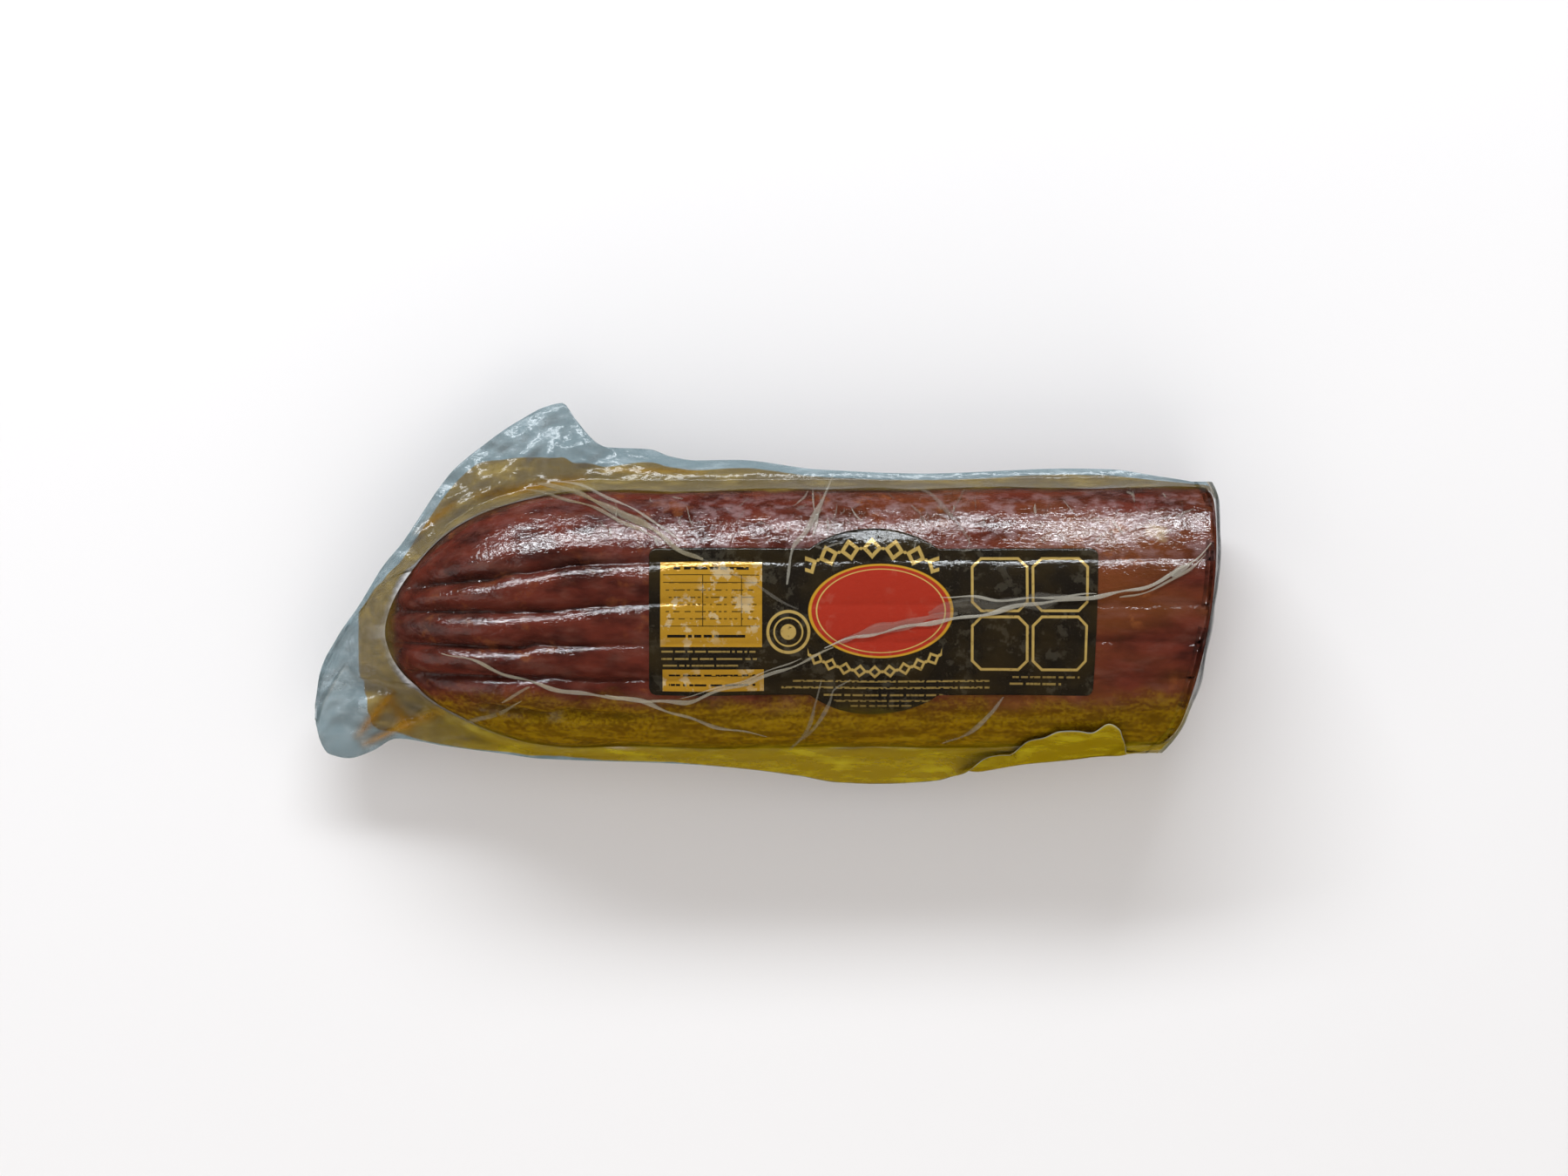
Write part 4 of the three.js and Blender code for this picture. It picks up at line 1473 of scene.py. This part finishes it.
    def surface(self, x: Array, y: Array) -> Array:
        """Height of the front film over the meat at places in plan."""
        section = self.section(x)
        share = np.clip((y - section.middle) / section.half, -0.985, 0.985)
        angle = np.arccos(np.sign(share) * np.abs(share) ** (section.upper_power / 2))
        held = self.meat.relief(x, angle) * self.share
        return section.at(angle, 0 * x)[1] + held + self.outset

    def pleat_lines(self) -> bpy.types.Object:
        """The pleats' routes as a mesh of edges that carries their widths, for the sweep."""
        points, edges, widths, opacities, stains = [], [], [], [], []
        for pleat in [*self.pleats, *self.glint_crackles()]:
            route = np.array(pleat.route, float)
            run = np.append(0, np.cumsum(np.hypot(*np.diff(route, axis=0).T)))
            fine = np.linspace(0, run[-1], max(int(run[-1] / 1.25), 8))
            px = Line(tuple(zip(run, route[:, 0])))(fine)
            py = Line(tuple(zip(run, route[:, 1])))(fine) + 0.35 * np.sin(fine / 3.1 + len(edges))
            ends = np.sin(np.clip(fine / run[-1], 0.02, 0.98) * math.pi) ** 0.4
            wave = 1 + 0.28 * np.sin(fine / 4.3 + len(edges)) + 0.18 * np.sin(fine / 1.9)
            first = len(points)
            points += np.stack([px, py, self.surface(px, py) + 0.1], -1).tolist()
            edges += [(first + k, first + k + 1) for k in range(len(fine) - 1)]
            widths += (pleat.width / 2 * ends * wave).tolist()
            opacities += [pleat.opacity] * len(fine)
            stains += [pleat.stain] * len(fine)
        mesh = bpy.data.meshes.new("pleat_lines")
        mesh.from_pydata((np.array(points) * MM).tolist(), edges, [])
        for key, numbers in {"width": np.array(widths) * MM, "pleat": opacities, "oil": stains}.items():
            layer = mesh.attributes.new(key, "FLOAT", "POINT")
            layer.data.foreach_set("value", np.array(numbers, np.float32))
        lines = bpy.data.objects.new("pleat_lines", mesh)
        bpy.context.scene.collection.objects.link(lines)
        return lines


@dataclass(frozen=True)
class PleatSweep:
    """Geometry Nodes that sweep a flattened fold along each pleat's route."""

    flatness: float = 0.22
    sides: int = 6

    def tree(self, material: bpy.types.Material) -> bpy.types.NodeTree:
        """Build the node tree.

        Args:
            material: What the pleats are made of.

        Returns:
            The tree, with its flatness and number of sides as inputs.
        """
        tree = bpy.data.node_groups.new("sweep pleats", "GeometryNodeTree")
        face = tree.interface
        face.new_socket("Geometry", in_out="INPUT", socket_type="NodeSocketGeometry")
        face.new_socket("Flatness", in_out="INPUT", socket_type="NodeSocketFloat")
        face.new_socket("Sides", in_out="INPUT", socket_type="NodeSocketInt")
        face.new_socket("Geometry", in_out="OUTPUT", socket_type="NodeSocketGeometry")
        nodes, links = tree.nodes, tree.links
        given = nodes.new("NodeGroupInput")
        curve = nodes.new("GeometryNodeMeshToCurve")
        links.new(given.outputs["Geometry"], curve.inputs[0])
        upright = nodes.new("GeometryNodeSetCurveNormal")
        upright.mode = "Z_UP"
        links.new(curve.outputs[0], upright.inputs[0])
        width = nodes.new("GeometryNodeInputNamedAttribute")
        width.data_type = "FLOAT"
        width.inputs["Name"].default_value = "width"
        profile = nodes.new("GeometryNodeCurvePrimitiveCircle")
        profile.inputs["Radius"].default_value = 1.0
        links.new(given.outputs["Sides"], profile.inputs["Resolution"])
        squeeze = nodes.new("ShaderNodeCombineXYZ")
        squeeze.inputs[0].default_value = 1.0
        squeeze.inputs[2].default_value = 1.0
        links.new(given.outputs["Flatness"], squeeze.inputs[1])
        flat = nodes.new("GeometryNodeTransform")
        links.new(profile.outputs[0], flat.inputs["Geometry"])
        links.new(squeeze.outputs[0], flat.inputs["Scale"])
        sweep = nodes.new("GeometryNodeCurveToMesh")
        sweep.inputs["Fill Caps"].default_value = True
        links.new(upright.outputs[0], sweep.inputs["Curve"])
        links.new(flat.outputs[0], sweep.inputs["Profile Curve"])
        links.new(width.outputs[0], sweep.inputs["Scale"])
        shade = nodes.new("GeometryNodeSetShadeSmooth")
        links.new(sweep.outputs[0], shade.inputs[0])
        real = nodes.new("GeometryNodeRealizeInstances")
        links.new(shade.outputs[0], real.inputs[0])
        dress = nodes.new("GeometryNodeSetMaterial")
        dress.inputs["Material"].default_value = material
        links.new(real.outputs[0], dress.inputs[0])
        result = nodes.new("NodeGroupOutput")
        links.new(dress.outputs[0], result.inputs[0])
        return tree

    def sweep(self, lines: bpy.types.Object, material: bpy.types.Material) -> bpy.types.Mesh:
        """Turn routes into folds.

        Args:
            lines: The routes.
            material: What the pleats are made of.

        Returns:
            A plain mesh. The routes' object is removed.
        """
        modifier = lines.modifiers.new("sweep", "NODES")
        modifier.node_group = self.tree(material)
        for socket in modifier.node_group.interface.items_tree:
            if socket.in_out == "INPUT" and socket.name in ("Flatness", "Sides"):
                modifier[socket.identifier] = getattr(self, socket.name.lower())
        graph = bpy.context.evaluated_depsgraph_get()
        mesh = bpy.data.meshes.new_from_object(lines.evaluated_get(graph))
        bpy.data.objects.remove(lines)
        return mesh


# ---------------------------------------------------------------------------------- the pack


@dataclass
class VacuumPack:
    """The whole pack: meat, label and the two films."""

    meat: Meat = field(default_factory=Meat)
    label: Label = field(default_factory=Label)

    def build(self) -> list[bpy.types.Object]:
        """Build and dress every piece.

        Returns:
            The pieces.
        """
        pouch = Pouch(self.meat)
        film = FilmFinish().material()
        front = pouch.film(Side.FRONT)
        self.join_pleats(front, PleatSweep().sweep(pouch.pleat_lines(), film))
        return [
            self.dress(self.meat.build(), MeatFinish().material(), Slot.MEAT, "sausage"),
            self.dress(self.label.build(self.meat), LabelFinish().material(), Slot.LABEL, "label"),
            self.dress(front, film, Slot.FILM, "front_film"),
            self.dress(pouch.film(Side.BACK), film, Slot.FILM, "back_film"),
        ]

    @staticmethod
    def join_pleats(front: bpy.types.Object, pleats: bpy.types.Mesh) -> None:
        """Make the swept pleats part of the front film's mesh."""
        pleats.materials.clear()
        both = bmesh.new()
        both.from_mesh(front.data)
        both.from_mesh(pleats)
        for face in both.faces:
            face.smooth = True
            face.material_index = 0
        both.to_mesh(front.data)
        both.free()

    @staticmethod
    def dress(
        piece: bpy.types.Object, material: bpy.types.Material, slot: Slot, node: str
    ) -> bpy.types.Object:
        """Give a piece its material and its place in the frame.

        Args:
            piece: The piece.
            material: Its finish.
            slot: The record's slot for that finish. Not used.
            node: The CAD node it stands for.

        Returns:
            The piece.
        """
        piece.data.materials.clear()
        piece.data.materials.append(material)
        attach(piece, "root")
        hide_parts(node)
        LOG.info("%s: %d faces", piece.name, len(piece.data.polygons))
        return piece


# ---------------------------------------------------------------------------------- the studio


@dataclass(frozen=True)
class SoftBox:
    """A soft light that faces the pack: where it hangs and its size in metres, and its power in watts."""

    name: str
    place: Colour
    size: tuple[float, float]
    power: float
    colour: Colour
    reflected: bool = True


@dataclass(frozen=True)
class Studio:
    """Pale ground, soft lights and the camera looking straight down."""

    lights: tuple[SoftBox, ...] = (
        SoftBox("window", (-0.25, 1.55, 1.02), (1.9, 0.34), 42, (0.90, 0.955, 1.0)),
        SoftBox("left_fill", (-1.5, -0.1, 1.1), (1.6, 1.6), 5, (1.0, 0.98, 0.96)),
        SoftBox("right_fill", (1.5, -0.2, 1.1), (1.6, 1.6), 5, (1.0, 0.97, 0.94)),
        SoftBox("near_fill", (0.0, -1.6, 1.1), (2.6, 1.6), 19, (1.0, 0.96, 0.90), reflected=False),
    )
    surround: Colour = (0.97, 0.98, 1.0)
    surround_strength: float = 0.38
    film_layers: int = 32
    aim: tuple[float, float] = (0.006, 0.0015)
    seam_z: float = 0.028
    distance: float = 2.5
    view_width: float = 0.549
    sensor: float = 36.0
    ground: float = 12.0

    def build(self) -> None:
        """Set the stage."""
        self.floor()
        for box in self.lights:
            self.hang(box)
        world = bpy.data.worlds.new("soft surround")
        world.use_nodes = True
        background = world.node_tree.nodes["Background"]
        background.inputs["Color"].default_value = (*self.surround, 1)
        background.inputs["Strength"].default_value = self.surround_strength
        scene = bpy.context.scene
        scene.world = world
        world.cycles_visibility.glossy = False
        scene.view_settings.view_transform = "Standard"
        scene.cycles.transparent_max_bounces = self.film_layers
        self.camera()

    def floor(self) -> None:
        """Lay the pale ground under the pack."""
        half = self.ground / 2
        corners = [(-half, -half, 0), (half, -half, 0), (half, half, 0), (-half, half, 0)]
        mesh = bpy.data.meshes.new("ground")
        mesh.from_pydata(corners, [], [(0, 1, 2, 3)])
        mesh.materials.append(StudioFinish().material())
        ground = bpy.data.objects.new("ground", mesh)
        bpy.context.scene.collection.objects.link(ground)
        ground.visible_glossy = False

    @staticmethod
    def hang(box: SoftBox) -> None:
        """Hang a soft box."""
        data = bpy.data.lights.new(box.name, "AREA")
        data.shape = "RECTANGLE"
        data.size, data.size_y = box.size
        data.energy = box.power
        data.color = box.colour
        lamp = bpy.data.objects.new(box.name, data)
        lamp.location = box.place
        aim = Vector((0, 0, 0.03)) - Vector(box.place)
        lamp.rotation_euler = aim.to_track_quat("-Z", "Y").to_euler()
        lamp.visible_glossy = box.reflected
        bpy.context.scene.collection.objects.link(lamp)

    def camera(self) -> None:
        """Look straight down from far above."""
        data = bpy.data.cameras.new("overhead")
        data.sensor_width = self.sensor
        data.lens = self.sensor * self.distance / self.view_width
        data.clip_end = 50
        camera = bpy.data.objects.new("overhead", data)
        camera.location = (*self.aim, self.seam_z + self.distance)
        bpy.context.scene.collection.objects.link(camera)
        bpy.context.scene.camera = camera


def main() -> None:
    """Load the frame, build the pack around it and set the stage."""
    logging.basicConfig(level=logging.INFO, format="%(name)s: %(message)s")
    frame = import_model()
    LOG.info("frame nodes: %s", ", ".join(sorted(frame["nodes"])))
    VacuumPack().build()
    Studio().build()


if __name__ == "__main__":
    main()
